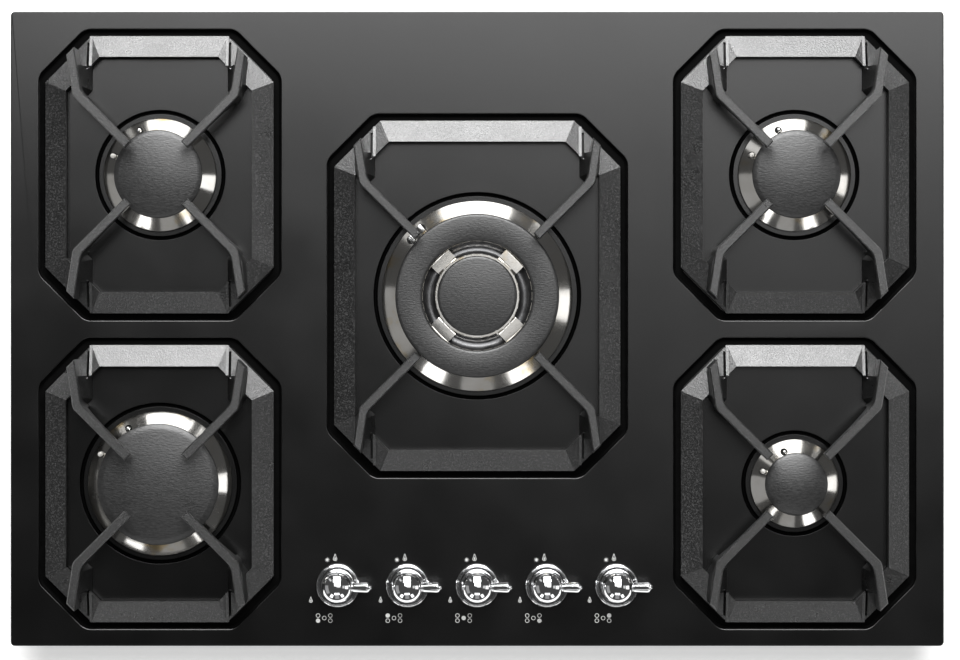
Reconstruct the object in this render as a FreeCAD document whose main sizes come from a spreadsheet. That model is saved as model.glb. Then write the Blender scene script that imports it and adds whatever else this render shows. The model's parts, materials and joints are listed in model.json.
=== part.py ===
# Built-in gas cooktop: five burners sunk in five eight-sided basins of one pressed, black enamelled
# steel plate, each under its own cast-iron pan support, with five lever knobs in a row at the front.
#
# Millimetres. X points right, Y points to the rear, Z points up. The origin is the middle of the
# worktop's cut-out, at the height of the worktop's surface, so the plate stands above zero and the
# tray, the taps and the pipes hang below it.
import FreeCAD, Part
import math
import os
import Sketcher

doc = FreeCAD.newDocument("GasCooktop")
sheet = doc.addObject("Spreadsheet::Sheet", "Sizes")


# ---------------------------------------------------------------------------------- named sizes

class Size:
    """A named size, or a sum worked out from named sizes, that keeps the formula it came from."""

    def __init__(self, number, formula):
        self.number = number
        self.formula = formula

    def __add__(self, other):
        other = as_size(other)
        return Size(self.number + other.number, "(%s + %s)" % (self.formula, other.formula))

    def __sub__(self, other):
        other = as_size(other)
        return Size(self.number - other.number, "(%s - %s)" % (self.formula, other.formula))

    def __mul__(self, other):
        other = as_size(other)
        return Size(self.number * other.number, "(%s * %s)" % (self.formula, other.formula))

    def __truediv__(self, other):
        other = as_size(other)
        return Size(self.number / other.number, "(%s / %s)" % (self.formula, other.formula))

    def __neg__(self):
        return Size(-self.number, "(-1 * %s)" % self.formula)

    def __radd__(self, other):
        return as_size(other) + self

    def __rsub__(self, other):
        return as_size(other) - self

    def __rmul__(self, other):
        return as_size(other) * self


def as_size(value):
    """A plain number as a size, so that it can stand in a formula."""
    if isinstance(value, Size):
        return value
    return Size(float(value), "%.9f" % value)


def cosine(angle):
    return Size(math.cos(math.radians(angle.number)), "cos(%s * 1 deg)" % angle.formula)


def sine(angle):
    return Size(math.sin(math.radians(angle.number)), "sin(%s * 1 deg)" % angle.formula)


def root(value):
    return Size(math.sqrt(value.number), "sqrt(%s)" % value.formula)


rows = []


def named(alias, number, meaning):
    """Writes one driving dimension into the sheet and returns it as a size."""
    rows.append(alias)
    row = len(rows)
    sheet.set("A%d" % row, meaning)
    sheet.set("B%d" % row, str(number))
    sheet.setAlias("B%d" % row, alias)
    return Size(float(number), "Sizes.%s" % alias)


ZERO = as_size(0)
HALF_TURN = as_size(180)

# The plate: one steel sheet, pressed, with its edge folded down.
plate_width = named("plate_width", 750.0, "plate, left to right")
plate_depth = named("plate_depth", 510.0, "plate, front to rear")
plate_corner = named("plate_corner", 3.5, "radius of the plate's corners")
plate_top = named("plate_top", 5.0, "plate's upper face over the worktop")
plate_sheet = named("plate_sheet", 1.0, "thickness of the plate's steel")
rim_gap = named("rim_gap", 1.0, "gap between the folded rim and the worktop")

# The basins: sunk fields with cut corners, one round each burner.
basin_sink = named("basin_sink", 4.0, "depth of a basin")
basin_cut = named("basin_cut", 37.0, "length taken off a basin's corners along each side")
basin_round = named("basin_round", 11.0, "radius between a basin's sides and its cut corners")
lip_break = named("lip_break", 1.2, "bend at the upper edges of the plate and of its basins")
side_basin_x = named("side_basin_x", 97.2, "side basin, middle to side wall")
side_basin_y = named("side_basin_y", 116.9, "side basin, middle to front or rear wall")
wok_basin_x = named("wok_basin_x", 120.5, "middle basin, middle to side wall")
wok_basin_y = named("wok_basin_y", 146.2, "middle basin, middle to front or rear wall")

# Where the burners stand.
side_burner_x = named("side_burner_x", 255.0, "side burners, from the plate's middle line")
rear_burner_y = named("rear_burner_y", 123.6, "rear burners, behind the middle")
front_burner_y = named("front_burner_y", -124.3, "front burners, ahead of the middle")
wok_burner_y = named("wok_burner_y", 26.4, "middle burner, behind the middle")

# The bead pressed round each burner.
bead_outside = named("bead_outside", 6.75, "pressed bead's outer edge, beyond the flame crown")
bead_inside = named("bead_inside", 3.4, "pressed bead's inner edge, beyond the flame crown")
bead_depth = named("bead_depth", 1.0, "depth of the pressed bead")

# The tray under the plate and what fastens it.
cutout_width = named("cutout_width", 720.0, "worktop cut-out, left to right")
cutout_depth = named("cutout_depth", 490.0, "worktop cut-out, front to rear")
tray_width = named("tray_width", 690.0, "tray, left to right")
tray_depth = named("tray_depth", 470.0, "tray, front to rear")
tray_drop = named("tray_drop", 48.0, "tray's underside below the worktop's surface")
tray_sheet = named("tray_sheet", 1.0, "thickness of the tray's steel")
ear_reach = named("ear_reach", 16.0, "tray's fixing ears, length inward")
ear_width = named("ear_width", 22.0, "tray's fixing ears, width")
ear_x = named("ear_x", 139.0, "tray's fixing ears, from the middle line")
stud_radius = named("stud_radius", 2.0, "welded studs under the plate")
stud_length = named("stud_length", 8.0, "welded studs, length")
nut_radius = named("nut_radius", 3.6, "nuts on the welded studs")
nut_height = named("nut_height", 3.0, "nuts, height")
seal_width = named("seal_width", 5.0, "foam seal on the worktop, width")
seal_setback = named("seal_setback", 1.5, "foam seal, from the cut-out's edge")

# The recess at the rear right of the tray's floor, where gas and mains come in.
recess_width = named("recess_width", 96.0, "recess in the tray's floor, left to right")
recess_depth = named("recess_depth", 54.0, "recess in the tray's floor, front to rear")
recess_rise = named("recess_rise", 20.0, "height of the recess")

# The burners. Each kind has the radius of its cap and of its flame crown.
cap_thick = named("cap_thick", 2.0, "thickness of a cap's edge")
cap_rise = named("cap_rise", 4.2, "height of a cap's dome")
cap_shell = named("cap_shell", 3.0, "thickness of a cap at its middle")
crown_seat = named("crown_seat", 3.0, "crown's underside over the worktop, on its cup")
crown_edge = named("crown_edge", 2.0, "height of the crown's outer edge")
crown_shoulder = named("crown_shoulder", 14.8, "top of the crown's cone over the worktop")
crown_top = named("crown_top", 19.5, "top of the flame ports over the worktop")
port_setback = named("port_setback", 1.8, "port wall's outer face, inside the cap's edge")
port_wall = named("port_wall", 3.0, "thickness of the port wall")
port_width = named("port_width", 1.7, "width of a flame port")
port_depth = named("port_depth", 2.6, "height of a flame port")
crown_floor = named("crown_floor", 6.5, "floor of the crown's gas chamber over the worktop")
venturi_bore = named("venturi_bore", 8.0, "bore radius of the mixing tube")
venturi_wall = named("venturi_wall", 1.6, "wall of the mixing tube")
venturi_foot = named("venturi_foot", -7.0, "foot of the mixing tube over the worktop")
skirt_overhang = named("skirt_overhang", 18.0, "crown beyond the neck of its cup")
cup_wall = named("cup_wall", 2.0, "wall of a burner cup")
cup_floor = named("cup_floor", 16.0, "underside of a cup below the worktop's surface")
flange_setback = named("flange_setback", 2.5, "cup's flange, inside the crown's edge")
flange_thick = named("flange_thick", 2.0, "thickness of a cup's flange")
neck_gap = named("neck_gap", 0.4, "round a cup's neck in the plate's hole")
lift_gap = named("lift_gap", 0.4, "between a lifting piece and what it sits in")
spigot_depth = named("spigot_depth", 3.0, "depth of the ring that centres a crown or a cap")
spigot_wall = named("spigot_wall", 1.8, "wall of the ring that centres a crown or a cap")
holder_side = named("holder_side", 14.0, "jet holder under a cup, side")
holder_drop = named("holder_drop", 16.0, "jet holder under a cup, height")
jet_radius = named("jet_radius", 4.0, "brass jet, radius")
jet_height = named("jet_height", 8.0, "brass jet, height above the cup's floor")
jet_hole = named("jet_hole", 0.9, "brass jet, bore radius")
thread_gap = named("thread_gap", 0.05, "radial gap at a turned fit")
screw_radius = named("screw_radius", 2.0, "cup screws, shank radius")
screw_head = named("screw_head", 3.4, "cup screws, head radius")
screw_head_height = named("screw_head_height", 1.5, "cup screws, head height")
screw_length = named("screw_length", 7.0, "cup screws, length below the plate")
screw_setback = named("screw_setback", 8.5, "cup screws, inside the crown's edge")

# The middle burner's inner flame.
inner_cap_radius = named("inner_cap_radius", 31.9, "middle burner's inner cap")
inner_crown_radius = named("inner_crown_radius", 33.7, "middle burner's inner flame ring")
ring_cap_hole = named("ring_cap_hole", 44.0, "hole in the middle burner's ring cap")
bridge_width = named("bridge_width", 20.0, "bridges across the troughs")
bridge_top = named("bridge_top", 17.0, "top of the bridges over the worktop")

# Ignition and flame sensing.
electrode_radius = named("electrode_radius", 2.0, "spark electrode's ceramic")
electrode_top = named("electrode_top", 17.5, "top of the electrode over the worktop")
sensor_radius = named("sensor_radius", 1.6, "flame sensor's radius")
sensor_top = named("sensor_top", 17.0, "top of the flame sensor over the worktop")
rod_foot = named("rod_foot", 14.0, "foot of electrode and sensor below the worktop's surface")
rod_collar = named("rod_collar", 3.8, "collar that holds electrode and sensor under the flange")
rod_collar_height = named("rod_collar_height", 3.0, "height of that collar")
rod_gap = named("rod_gap", 0.5, "round electrode and sensor in plate and flange")
rod_lift_gap = named("rod_lift_gap", 0.9, "round electrode and sensor in the lifting crown")

# The pan supports: a bevelled eight-sided frame with four fingers.
support_gap = named("support_gap", 5.7, "frame to the basin's wall")
support_cut = named("support_cut", 37.0, "length taken off the frame's corners along each side")
support_foot = named("support_foot", 1.5, "rubber foot's height")
foot_length = named("foot_length", 12.0, "rubber foot, front to rear")
foot_width = named("foot_width", 7.0, "rubber foot, left to right")
frame_edge = named("frame_edge", 5.5, "height of the frame's outer edge")
frame_bevel = named("frame_bevel", 17.0, "width of the frame's bevel in plan")
frame_rise = named("frame_rise", 7.0, "rise of the frame's bevel")
frame_wall = named("frame_wall", 3.5, "wall of the frame's casting")
finger_width = named("finger_width", 7.0, "width of a finger")
finger_top = named("finger_top", 42.0, "top of the fingers over the worktop")
finger_lean = named("finger_lean", 8.7, "degrees between a finger's root and the front-to-rear line")
finger_break = named("finger_break", 0.9, "chamfer along a finger's upper edges")
bend_radius = named("bend_radius", 14.0, "radius inside a finger's bend")
tip_depth = named("tip_depth", 8.5, "height of a finger at its tip")
arch_start = named("arch_start", 19.0, "finger's flat underside, from its tip")
arch_end = named("arch_end", 4.5, "finger's leg, inward of the bend")
arch_knee = named("arch_knee", 15.0, "height of the arch's knee above the frame's foot")
arch_radius = named("arch_radius", 36.0, "radius of the arch between leg and tip")
root_setback = named("root_setback", 5.0, "finger's root, inside the frame's cut corner")
leg_spread = named("leg_spread", 8.2, "leg's foot beyond the finger, inward")
leg_length = named("leg_length", 24.0, "leg's foot, front to rear")
leg_top = named("leg_top", 31.0, "height where the leg has narrowed to the finger")
slot_width = named("slot_width", 2.0, "slot beside a finger's root")
slot_length = named("slot_length", 21.0, "length of that slot")
slot_side = named("slot_side", 6.8, "slot's near side, from the finger's bend")
lip_width = named("lip_width", 2.3, "raised lip along the slot")
lip_height = named("lip_height", 0.9, "height of that lip above the bevel")

# The knobs and what they turn.
knob_pitch = named("knob_pitch", 56.0, "from knob to knob")
knob_y = named("knob_y", -206.2, "knobs, ahead of the middle")
bezel_radius = named("bezel_radius", 17.5, "knob bezel's outer radius")
bezel_height = named("bezel_height", 4.5, "knob bezel's height")
bezel_rim = named("bezel_rim", 2.6, "width of the bezel's raised rim")
bezel_groove = named("bezel_groove", 1.6, "depth of the bezel's groove")
knob_radius = named("knob_radius", 11.85, "knob barrel's radius")
knob_skirt = named("knob_skirt", 13.6, "knob's foot, radius")
knob_gap = named("knob_gap", 0.5, "knob's foot inside the bezel")
knob_foot = named("knob_foot", 4.4, "knob's foot above the plate")
knob_shoulder = named("knob_shoulder", 26.5, "knob barrel's height above the plate")
knob_dome = named("knob_dome", 6.5, "height of the knob's dome")
lever_height = named("lever_height", 20.5, "lever's axis above the plate")
lever_root = named("lever_root", 3.7, "lever's radius at the barrel")
lever_end = named("lever_end", 4.4, "lever's radius near its end")
lever_reach = named("lever_reach", 27.6, "lever's tip from the knob's axis")
lever_point = named("lever_point", 3.0, "length of the lever's pointed end")
lever_tip = named("lever_tip", 1.6, "radius of the lever's tip")
lever_start = named("lever_start", 9.0, "lever's start from the knob's axis")
stem_radius = named("stem_radius", 3.0, "tap stem's radius")
stem_flat = named("stem_flat", 1.9, "tap stem's flat, from its axis")
knob_bore_gap = named("knob_bore_gap", 0.1, "clearance of the knob's bore over the stem")
stem_top = named("stem_top", 22.0, "top of the tap stem above the plate")
stem_hole = named("stem_hole", 7.5, "plate's hole round a stem, radius")
press_travel = named("press_travel", 3.0, "how far a knob is pressed in")
collar_radius = named("collar_radius", 4.6, "press collar's radius")
collar_height = named("collar_height", 2.0, "press collar's height")
collar_rest = named("collar_rest", 2.2, "press collar's underside above the tap's switch, released")

# Taps, switches and gas pipes.
tap_width = named("tap_width", 26.0, "tap body, left to right")
tap_depth = named("tap_depth", 30.0, "tap body, front to rear")
tap_top = named("tap_top", 12.0, "tap's upper face below the worktop's surface")
tap_foot = named("tap_foot", 33.0, "tap's lower face below the worktop's surface")
tap_bore_depth = named("tap_bore_depth", 14.0, "depth of the tap's stem bore")
tap_gap = named("tap_gap", 0.06, "round the stem in the tap")
stem_room = named("stem_room", 1.0, "room under a pressed stem")
switch_height = named("switch_height", 6.0, "ignition switch on a tap, height")
switch_width = named("switch_width", 20.0, "ignition switch, left to right")
switch_depth = named("switch_depth", 22.0, "ignition switch, front to rear")
switch_gap = named("switch_gap", 0.6, "round the press collar in the switch")
rail_radius = named("rail_radius", 7.0, "gas rail's radius")
rail_drop = named("rail_drop", 36.0, "gas rail's axis below the worktop's surface")
rail_gap = named("rail_gap", 0.1, "round the rail in its saddles")
rail_end = named("rail_end", 325.0, "gas rail's feed pipe, from the middle line")
rail_left = named("rail_left", 135.0, "gas rail's closed end, left of the middle line")
pipe_radius = named("pipe_radius", 3.0, "burner pipes, radius")
upper_pipe = named("upper_pipe", 20.5, "upper burner pipes' axes below the worktop's surface")
lower_pipe = named("lower_pipe", 28.0, "lower burner pipe's axis below the worktop's surface")
lane_x = named("lane_x", 175.0, "rear burners' pipes, from the middle line")
lane_y = named("lane_y", 160.0, "where the pipes turn away from the taps, ahead of the middle")
bracket_width = named("bracket_width", 16.0, "rail brackets, left to right")
bracket_depth = named("bracket_depth", 22.0, "rail brackets, front to rear")
bracket_x = named("bracket_x", 84.0, "rail brackets, from the middle line")
inlet_y = named("inlet_y", 207.0, "gas inlet, behind the middle")
riser_y = named("riser_y", 153.0, "where the feed pipe rises over the recess, behind the middle")
inlet_thread = named("inlet_thread", 10.48, "gas inlet's male thread, radius")
inlet_length = named("inlet_length", 15.0, "gas inlet's male thread, length")
inlet_shoulder = named("inlet_shoulder", 1.2, "shoulder above the thread, beyond the thread's radius")
inlet_bore = named("inlet_bore", 6.0, "gas inlet's bore radius")
inlet_block = named("inlet_block", 22.0, "gas inlet's elbow block, side")

# Mains parts.
spark_box_width = named("spark_box_width", 70.0, "spark generator, left to right")
spark_box_depth = named("spark_box_depth", 40.0, "spark generator, front to rear")
spark_box_height = named("spark_box_height", 26.0, "spark generator, height")
spark_box_y = named("spark_box_y", 196.0, "spark generator, behind the middle")
spark_box_x = named("spark_box_x", -40.0, "spark generator, from the middle line")
terminal_width = named("terminal_width", 36.0, "mains terminal box, left to right")
terminal_depth = named("terminal_depth", 34.0, "mains terminal box, front to rear")
terminal_height = named("terminal_height", 18.0, "mains terminal box, height")
gland_x = named("gland_x", 276.0, "cable gland, from the middle line")
gland_radius = named("gland_radius", 8.0, "cable gland's radius")
gland_bore = named("gland_bore", 4.0, "cable gland's bore radius")
gland_length = named("gland_length", 14.0, "cable gland below the recess")
clamp_x = named("clamp_x", 230.0, "worktop clamps, from the middle line")
clamp_width = named("clamp_width", 12.0, "worktop clamps' blocks, width")
clamp_depth = named("clamp_depth", 8.0, "worktop clamps' blocks, out from the tray")
clamp_drop = named("clamp_drop", 40.0, "worktop clamps' arms below the worktop's surface")
clamp_arm = named("clamp_arm", 34.0, "worktop clamps' arms, length")
clamp_screw = named("clamp_screw", 2.0, "worktop clamps' screws, radius")

doc.recompute()

# Heights and radii that follow from the sizes above.
plate_under = plate_top - plate_sheet
floor_top = plate_top - basin_sink
floor_under = floor_top - plate_sheet
frame_foot = floor_top + support_foot
half_width = plate_width / 2
half_depth = plate_depth / 2
tray_x = tray_width / 2
tray_y = tray_depth / 2
tray_floor = tray_sheet - tray_drop
recess_floor = recess_rise - tray_drop
tan_eighth = root(as_size(2)) - 1
corner_shrink = 2 - root(as_size(2))


# ---------------------------------------------------------------------------------- the burners

def burner(name, kind, x, y, spark, sensor, screws):
    """What one burner needs: its kind, its middle and where its spark, sensor and screws stand."""
    return {"name": name, "kind": kind, "x": x, "y": y,
            "spark": spark, "sensor": sensor, "screws": screws}


def burner_kind(name, cap, crown, ports):
    return {"name": name,
            "cap": named(name + "_cap", cap, name.replace("_", " ") + " burner's cap, radius"),
            "crown": named(name + "_crown", crown, name.replace("_", " ") + " burner's crown, radius"),
            "ports": ports}


def polar(name, angle, radius):
    """An angle and a radius round a burner, named for the piece that stands there."""
    words = name.replace("_", " ")
    return (named(name + "_angle", angle, words + ", degrees from the right"),
            named(name + "_radius", radius, words + ", from the burner's middle"))


semi_rapid = burner_kind("semi_rapid", 35.3, 45.4, 24)
rapid = burner_kind("rapid", 48.5, 57.9, 32)
auxiliary = burner_kind("auxiliary", 25.1, 35.5, 16)
wok = burner_kind("wok", 65.5, 76.5, 48)

BURNERS = [
    burner("left_front", rapid, -side_burner_x, front_burner_y,
           polar("left_front_spark", 153.0, 52.6), polar("left_front_sensor", 119.0, 50.7), 20.0),
    burner("left_rear", semi_rapid, -side_burner_x, rear_burner_y,
           polar("left_rear_spark", 158.0, 39.6), polar("left_rear_sensor", 114.0, 38.5), 20.0),
    burner("centre", wok, ZERO, wok_burner_y,
           polar("centre_spark", 130.0, 70.2), polar("centre_sensor", 139.5, 69.4), 20.0),
    burner("right_front", auxiliary, side_burner_x, front_burner_y,
           polar("right_front_spark", 159.0, 27.9), polar("right_front_sensor", 109.5, 27.1), 20.0),
    burner("right_rear", semi_rapid, side_burner_x, rear_burner_y,
           polar("right_rear_spark", 156.0, 38.4), polar("right_rear_sensor", 111.0, 38.1), 20.0),
]

doc.recompute()


def around(angle, radius):
    """The point at an angle and a radius round the body's own origin."""
    return (radius * cosine(angle), radius * sine(angle))


def shifted(point, x, y):
    return (point[0] + x, point[1] + y)


def basin_size(item):
    if item["kind"] is wok:
        return (wok_basin_x, wok_basin_y)
    return (side_basin_x, side_basin_y)


# ---------------------------------------------------------------------------------- drawing tools

def start_body(label, x=ZERO, y=ZERO):
    """An empty body; x and y place it, so a repeated piece is drawn round its own middle."""
    body = doc.addObject("PartDesign::Body", label)
    body.Label = label
    body.AllowCompound = True
    body.setExpression(".Placement.Base.x", x.formula)
    body.setExpression(".Placement.Base.y", y.formula)
    return body


def origin_feature(body, role):
    return [item for item in body.Origin.OriginFeatures if item.Role == role][0]


def start_sketch(body, name, role="XY_Plane", offset=ZERO, turn=ZERO):
    """A sketch on one of the body's planes: offset along the normal, or turned about the upright."""
    sketch = body.newObject("Sketcher::SketchObject", name)
    sketch.AttachmentSupport = [(origin_feature(body, role), "")]
    sketch.MapMode = "FlatFace"
    if role == "XY_Plane":
        sketch.setExpression(".AttachmentOffset.Base.z", offset.formula)
    else:
        axis = FreeCAD.Vector(0, 1, 0)
        sketch.AttachmentOffset = FreeCAD.Placement(FreeCAD.Vector(), FreeCAD.Rotation(axis, turn.number))
        sketch.setExpression(".AttachmentOffset.Base.z", offset.formula)
    return sketch


class Drawing:
    """Lines, arcs and circles, with the rules that tie them to named sizes, for one sketch."""

    def __init__(self, sketch):
        self.sketch = sketch
        self.pieces = []
        self.rules = []
        self.formulas = []

    def add(self, piece):
        self.pieces.append(piece)
        return len(self.pieces) - 1

    def tie(self, size, *rule):
        self.rules.append(Sketcher.Constraint(*rule, size.number))
        self.formulas.append(size.formula)

    def pin(self, piece, end, corner):
        """Ties one end of a line or an arc, or a circle's centre, to its place."""
        self.tie(corner[0], "DistanceX", -1, 1, piece, end)
        self.tie(corner[1], "DistanceY", -1, 1, piece, end)

    def line(self, start, finish):
        return self.add(Part.LineSegment(spot(start), spot(finish)))

    def arc(self, start, finish, radius):
        """An arc that turns left from start to finish, or right where the radius is negative."""
        begin, end = spot(start), spot(finish)
        bound = radius
        if radius.number < 0:
            begin, end = end, begin
            bound = -radius
        chord = end - begin
        left = FreeCAD.Vector(-chord.y, chord.x, 0).normalize()
        rise = math.sqrt(max(bound.number ** 2 - (chord.Length / 2) ** 2, 0))
        centre = (begin + end) * 0.5 + left * rise
        angles = [math.atan2(point.y - centre.y, point.x - centre.x) for point in (begin, end)]
        circle_under = Part.Circle(centre, FreeCAD.Vector(0, 0, 1), bound.number)
        piece = self.add(Part.ArcOfCircle(circle_under, angles[0], angles[1]))
        self.tie(bound, "Radius", piece)
        return piece

    def loop(self, corners):
        """A closed outline. A corner is (x, y), or (x, y, radius) where an arc leaves it."""
        placed = []
        for place, corner in enumerate(corners):
            following = corners[(place + 1) % len(corners)]
            if len(corner) == 3:
                piece = self.arc(corner, following, corner[2])
                placed.append((piece, (1, 2) if corner[2].number > 0 else (2, 1)))
            else:
                placed.append((self.line(corner, following), (1, 2)))
        for place, (piece, ends) in enumerate(placed):
            after, after_ends = placed[(place + 1) % len(placed)]
            self.rules.append(Sketcher.Constraint("Coincident", piece, ends[1], after, after_ends[0]))
            self.formulas.append(None)
            self.pin(piece, ends[0], corners[place])

    def circle(self, x, y, radius):
        piece = self.add(Part.Circle(spot((x, y)), FreeCAD.Vector(0, 0, 1), radius.number))
        self.tie(radius, "Radius", piece)
        self.pin(piece, 3, (x, y))

    def chain(self, corners):
        """An open run of straight lines."""
        for place in range(len(corners) - 1):
            piece = self.line(corners[place], corners[place + 1])
            self.pin(piece, 1, corners[place])
            self.pin(piece, 2, corners[place + 1])

    def finish(self):
        self.sketch.addGeometry(self.pieces, False)
        self.sketch.addConstraint(self.rules)
        for number, formula in enumerate(self.formulas):
            if formula:
                self.sketch.setExpression("Constraints[%d]" % number, formula)


def spot(corner):
    return FreeCAD.Vector(corner[0].number, corner[1].number, 0)


def draw(sketch, shapes):
    """Shapes are outlines, as lists of corners, and circles, as ("circle", x, y, radius)."""
    drawing = Drawing(sketch)
    for shape in shapes:
        if shape[0] == "circle":
            drawing.circle(*shape[1:])
        else:
            drawing.loop(shape)
    drawing.finish()


def check_change(feature, before, grows):
    """Stops the build where a feature missed the body: a cut has to remove, a pad has to add."""
    doc.recompute()
    after = feature.Shape.Volume
    if grows and after <= before:
        raise ValueError("%s adds nothing" % feature.Label)
    if not grows and after >= before:
        raise ValueError("%s cuts nothing" % feature.Label)
    return feature


def volume_of(body):
    doc.recompute()
    return body.Shape.Volume if not body.Shape.isNull() else 0.0


def raise_from(body, name, shapes, low, high):
    """Adds upright walls on the given outlines between two heights."""
    before = volume_of(body)
    sketch = start_sketch(body, name + "_outline", "XY_Plane", low)
    draw(sketch, shapes)
    pad = body.newObject("PartDesign::Pad", name)
    pad.Profile = sketch
    pad.setExpression("Length", (high - low).formula)
    return check_change(pad, before, True)


def cut_down(body, name, shapes, low, high):
    """Cuts the given outlines out between two heights."""
    before = volume_of(body)
    sketch = start_sketch(body, name + "_outline", "XY_Plane", high)
    draw(sketch, shapes)
    pocket = body.newObject("PartDesign::Pocket", name)
    pocket.Profile = sketch
    pocket.setExpression("Length", (high - low).formula)
    return check_change(pocket, before, False)


def turn_up(body, name, corners):
    """Turns a profile of (radius, height) corners about the body's upright axis."""
    sketch = start_sketch(body, name + "_profile", "XZ_Plane")
    draw(sketch, [corners])
    turned = body.newObject("PartDesign::Revolution", name)
    turned.Profile = sketch
    turned.ReferenceAxis = (sketch, ["V_Axis"])
    turned.Angle = 360
    doc.recompute()
    return turned


def side_profile(body, name, corners, middle, thickness, role="XZ_Plane", turn=ZERO, cut=False):
    """Adds, or cuts, an outline drawn on an upright plane, to both sides of that plane."""
    before = volume_of(body)
    sketch = start_sketch(body, name + "_outline", role, middle, turn)
    draw(sketch, corners)
    feature = body.newObject("PartDesign::Pocket" if cut else "PartDesign::Pad", name)
    feature.Profile = sketch
    feature.Midplane = True
    feature.setExpression("Length", thickness.formula)
    return check_change(feature, before, not cut)


def round_pattern(body, name, feature, count):
    """Repeats a feature round the body's upright axis."""
    pattern = body.newObject("PartDesign::PolarPattern", name)
    pattern.Originals = [feature]
    pattern.Axis = (origin_feature(body, "Z_Axis"), [""])
    pattern.Angle = 360
    pattern.Occurrences = count
    body.Tip = pattern
    doc.recompute()
    return pattern


def mirror_four_ways(body, name, features):
    """Repeats features left to right and front to rear."""
    transform = body.newObject("PartDesign::MultiTransform", name)
    mirrors = []
    for role in ("YZ_Plane", "XZ_Plane"):
        mirror = body.newObject("PartDesign::Mirrored", name + "_" + role[:2])
        mirror.MirrorPlane = (origin_feature(body, role), [""])
        mirrors.append(mirror)
    transform.Originals = features
    transform.Transformations = mirrors
    body.Tip = transform
    doc.recompute()
    return transform


def soften(body, base, name, kind, size, chosen):
    """Rounds or chamfers the edges of a feature that a test picks out."""
    doc.recompute()
    picked = []
    for place, edge in enumerate(base.Shape.Edges):
        if chosen(edge):
            picked.append("Edge%d" % (place + 1))
    if not picked:
        raise ValueError("%s finds no edge" % name)
    feature = body.newObject("PartDesign::" + kind, name)
    feature.Base = (base, picked)
    feature.setExpression("Radius" if kind == "Fillet" else "Size", size.formula)
    doc.recompute()
    return feature


def level_edge(edge, height):
    """Whether an edge lies level at a height."""
    box = edge.BoundBox
    return abs(box.ZMin - height.number) < 0.001 and abs(box.ZMax - height.number) < 0.001


# Outlines.

def rectangle(x, y, width, depth):
    """A rectangle round a middle."""
    left, right = x - width / 2, x + width / 2
    front, rear = y - depth / 2, y + depth / 2
    return [(left, front), (right, front), (right, rear), (left, rear)]


def rounded_rectangle(half_x, half_y, radius):
    return [(half_x, radius - half_y), (half_x, half_y - radius, radius),
            (half_x - radius, half_y), (radius - half_x, half_y, radius),
            (-half_x, half_y - radius), (-half_x, radius - half_y, radius),
            (radius - half_x, -half_y), (half_x - radius, -half_y, radius)]


def octagon(half_x, half_y, cut):
    """A rectangle with its corners cut off at 45 degrees, from the right side's lower corner."""
    return [(half_x, cut - half_y), (half_x, half_y - cut), (half_x - cut, half_y),
            (cut - half_x, half_y), (-half_x, half_y - cut), (-half_x, cut - half_y),
            (cut - half_x, -half_y), (half_x - cut, -half_y)]


def rounded_octagon(x, y, half_x, half_y, cut, radius):
    """The same, with each corner rounded."""
    back = radius * tan_eighth
    slant = back / root(as_size(2))
    quarter = [(half_x, half_y - cut - back, radius), (half_x - slant, half_y - cut + slant),
               (half_x - cut + slant, half_y - slant, radius), (half_x - cut - back, half_y)]
    corners = []
    for across, along in ((1, 1), (-1, 1), (-1, -1), (1, -1)):
        points = [(point[0] * across, point[1] * along) for point in quarter]
        if across * along < 0:
            points.reverse()
        corners.append((points[0][0] + x, points[0][1] + y, radius))
        corners.append((points[1][0] + x, points[1][1] + y))
        corners.append((points[2][0] + x, points[2][1] + y, radius))
        corners.append((points[3][0] + x, points[3][1] + y))
    return corners


def circle(x, y, radius):
    return ("circle", x, y, radius)


def regular(sides, radius):
    """A regular outline with a flat on the right."""
    corners = []
    for side in range(sides):
        angle = as_size(360.0 / sides * (side + 0.5))
        corners.append(around(angle, radius))
    return corners


def dome_radius(span, rise):
    """The radius of the arc that rises by rise over half a span."""
    return (span * span + rise * rise) / (rise * 2)


# ---------------------------------------------------------------------------------- the plate

def knob_places():
    return [knob_pitch * (place - 2) for place in range(5)]


def ear_places():
    """The four ears that hold the tray up to the plate: x, y and the way inward."""
    places = []
    for side in (-1, 1):
        for end in (-1, 1):
            places.append((ear_x * side, tray_y * end, -end))
    return places


def ear_hole(x, y, inward):
    return (x, y + ear_reach * inward * 0.55)


def cup_neck(item):
    return item["kind"]["crown"] - skirt_overhang


def screw_points(item):
    """The two screws of a burner cup, round the burner's own middle."""
    radius = item["kind"]["crown"] - screw_setback
    first = as_size(item["screws"])
    return [around(first, radius), around(first + HALF_TURN, radius)]


def rod_points(item):
    """Where the spark electrode and the flame sensor stand, round the burner's own middle."""
    return [around(*item["spark"]), around(*item["sensor"])]


def basin_outline(item, spread):
    half_x, half_y = basin_size(item)
    cut = basin_cut + spread * corner_shrink
    return rounded_octagon(item["x"], item["y"], half_x + spread, half_y + spread, cut, basin_round + spread)


def bead_edges(item, spread):
    inner = item["kind"]["crown"] + bead_inside - spread
    outer = item["kind"]["crown"] + bead_outside + spread
    return [circle(item["x"], item["y"], outer), circle(item["x"], item["y"], inner)]


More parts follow.
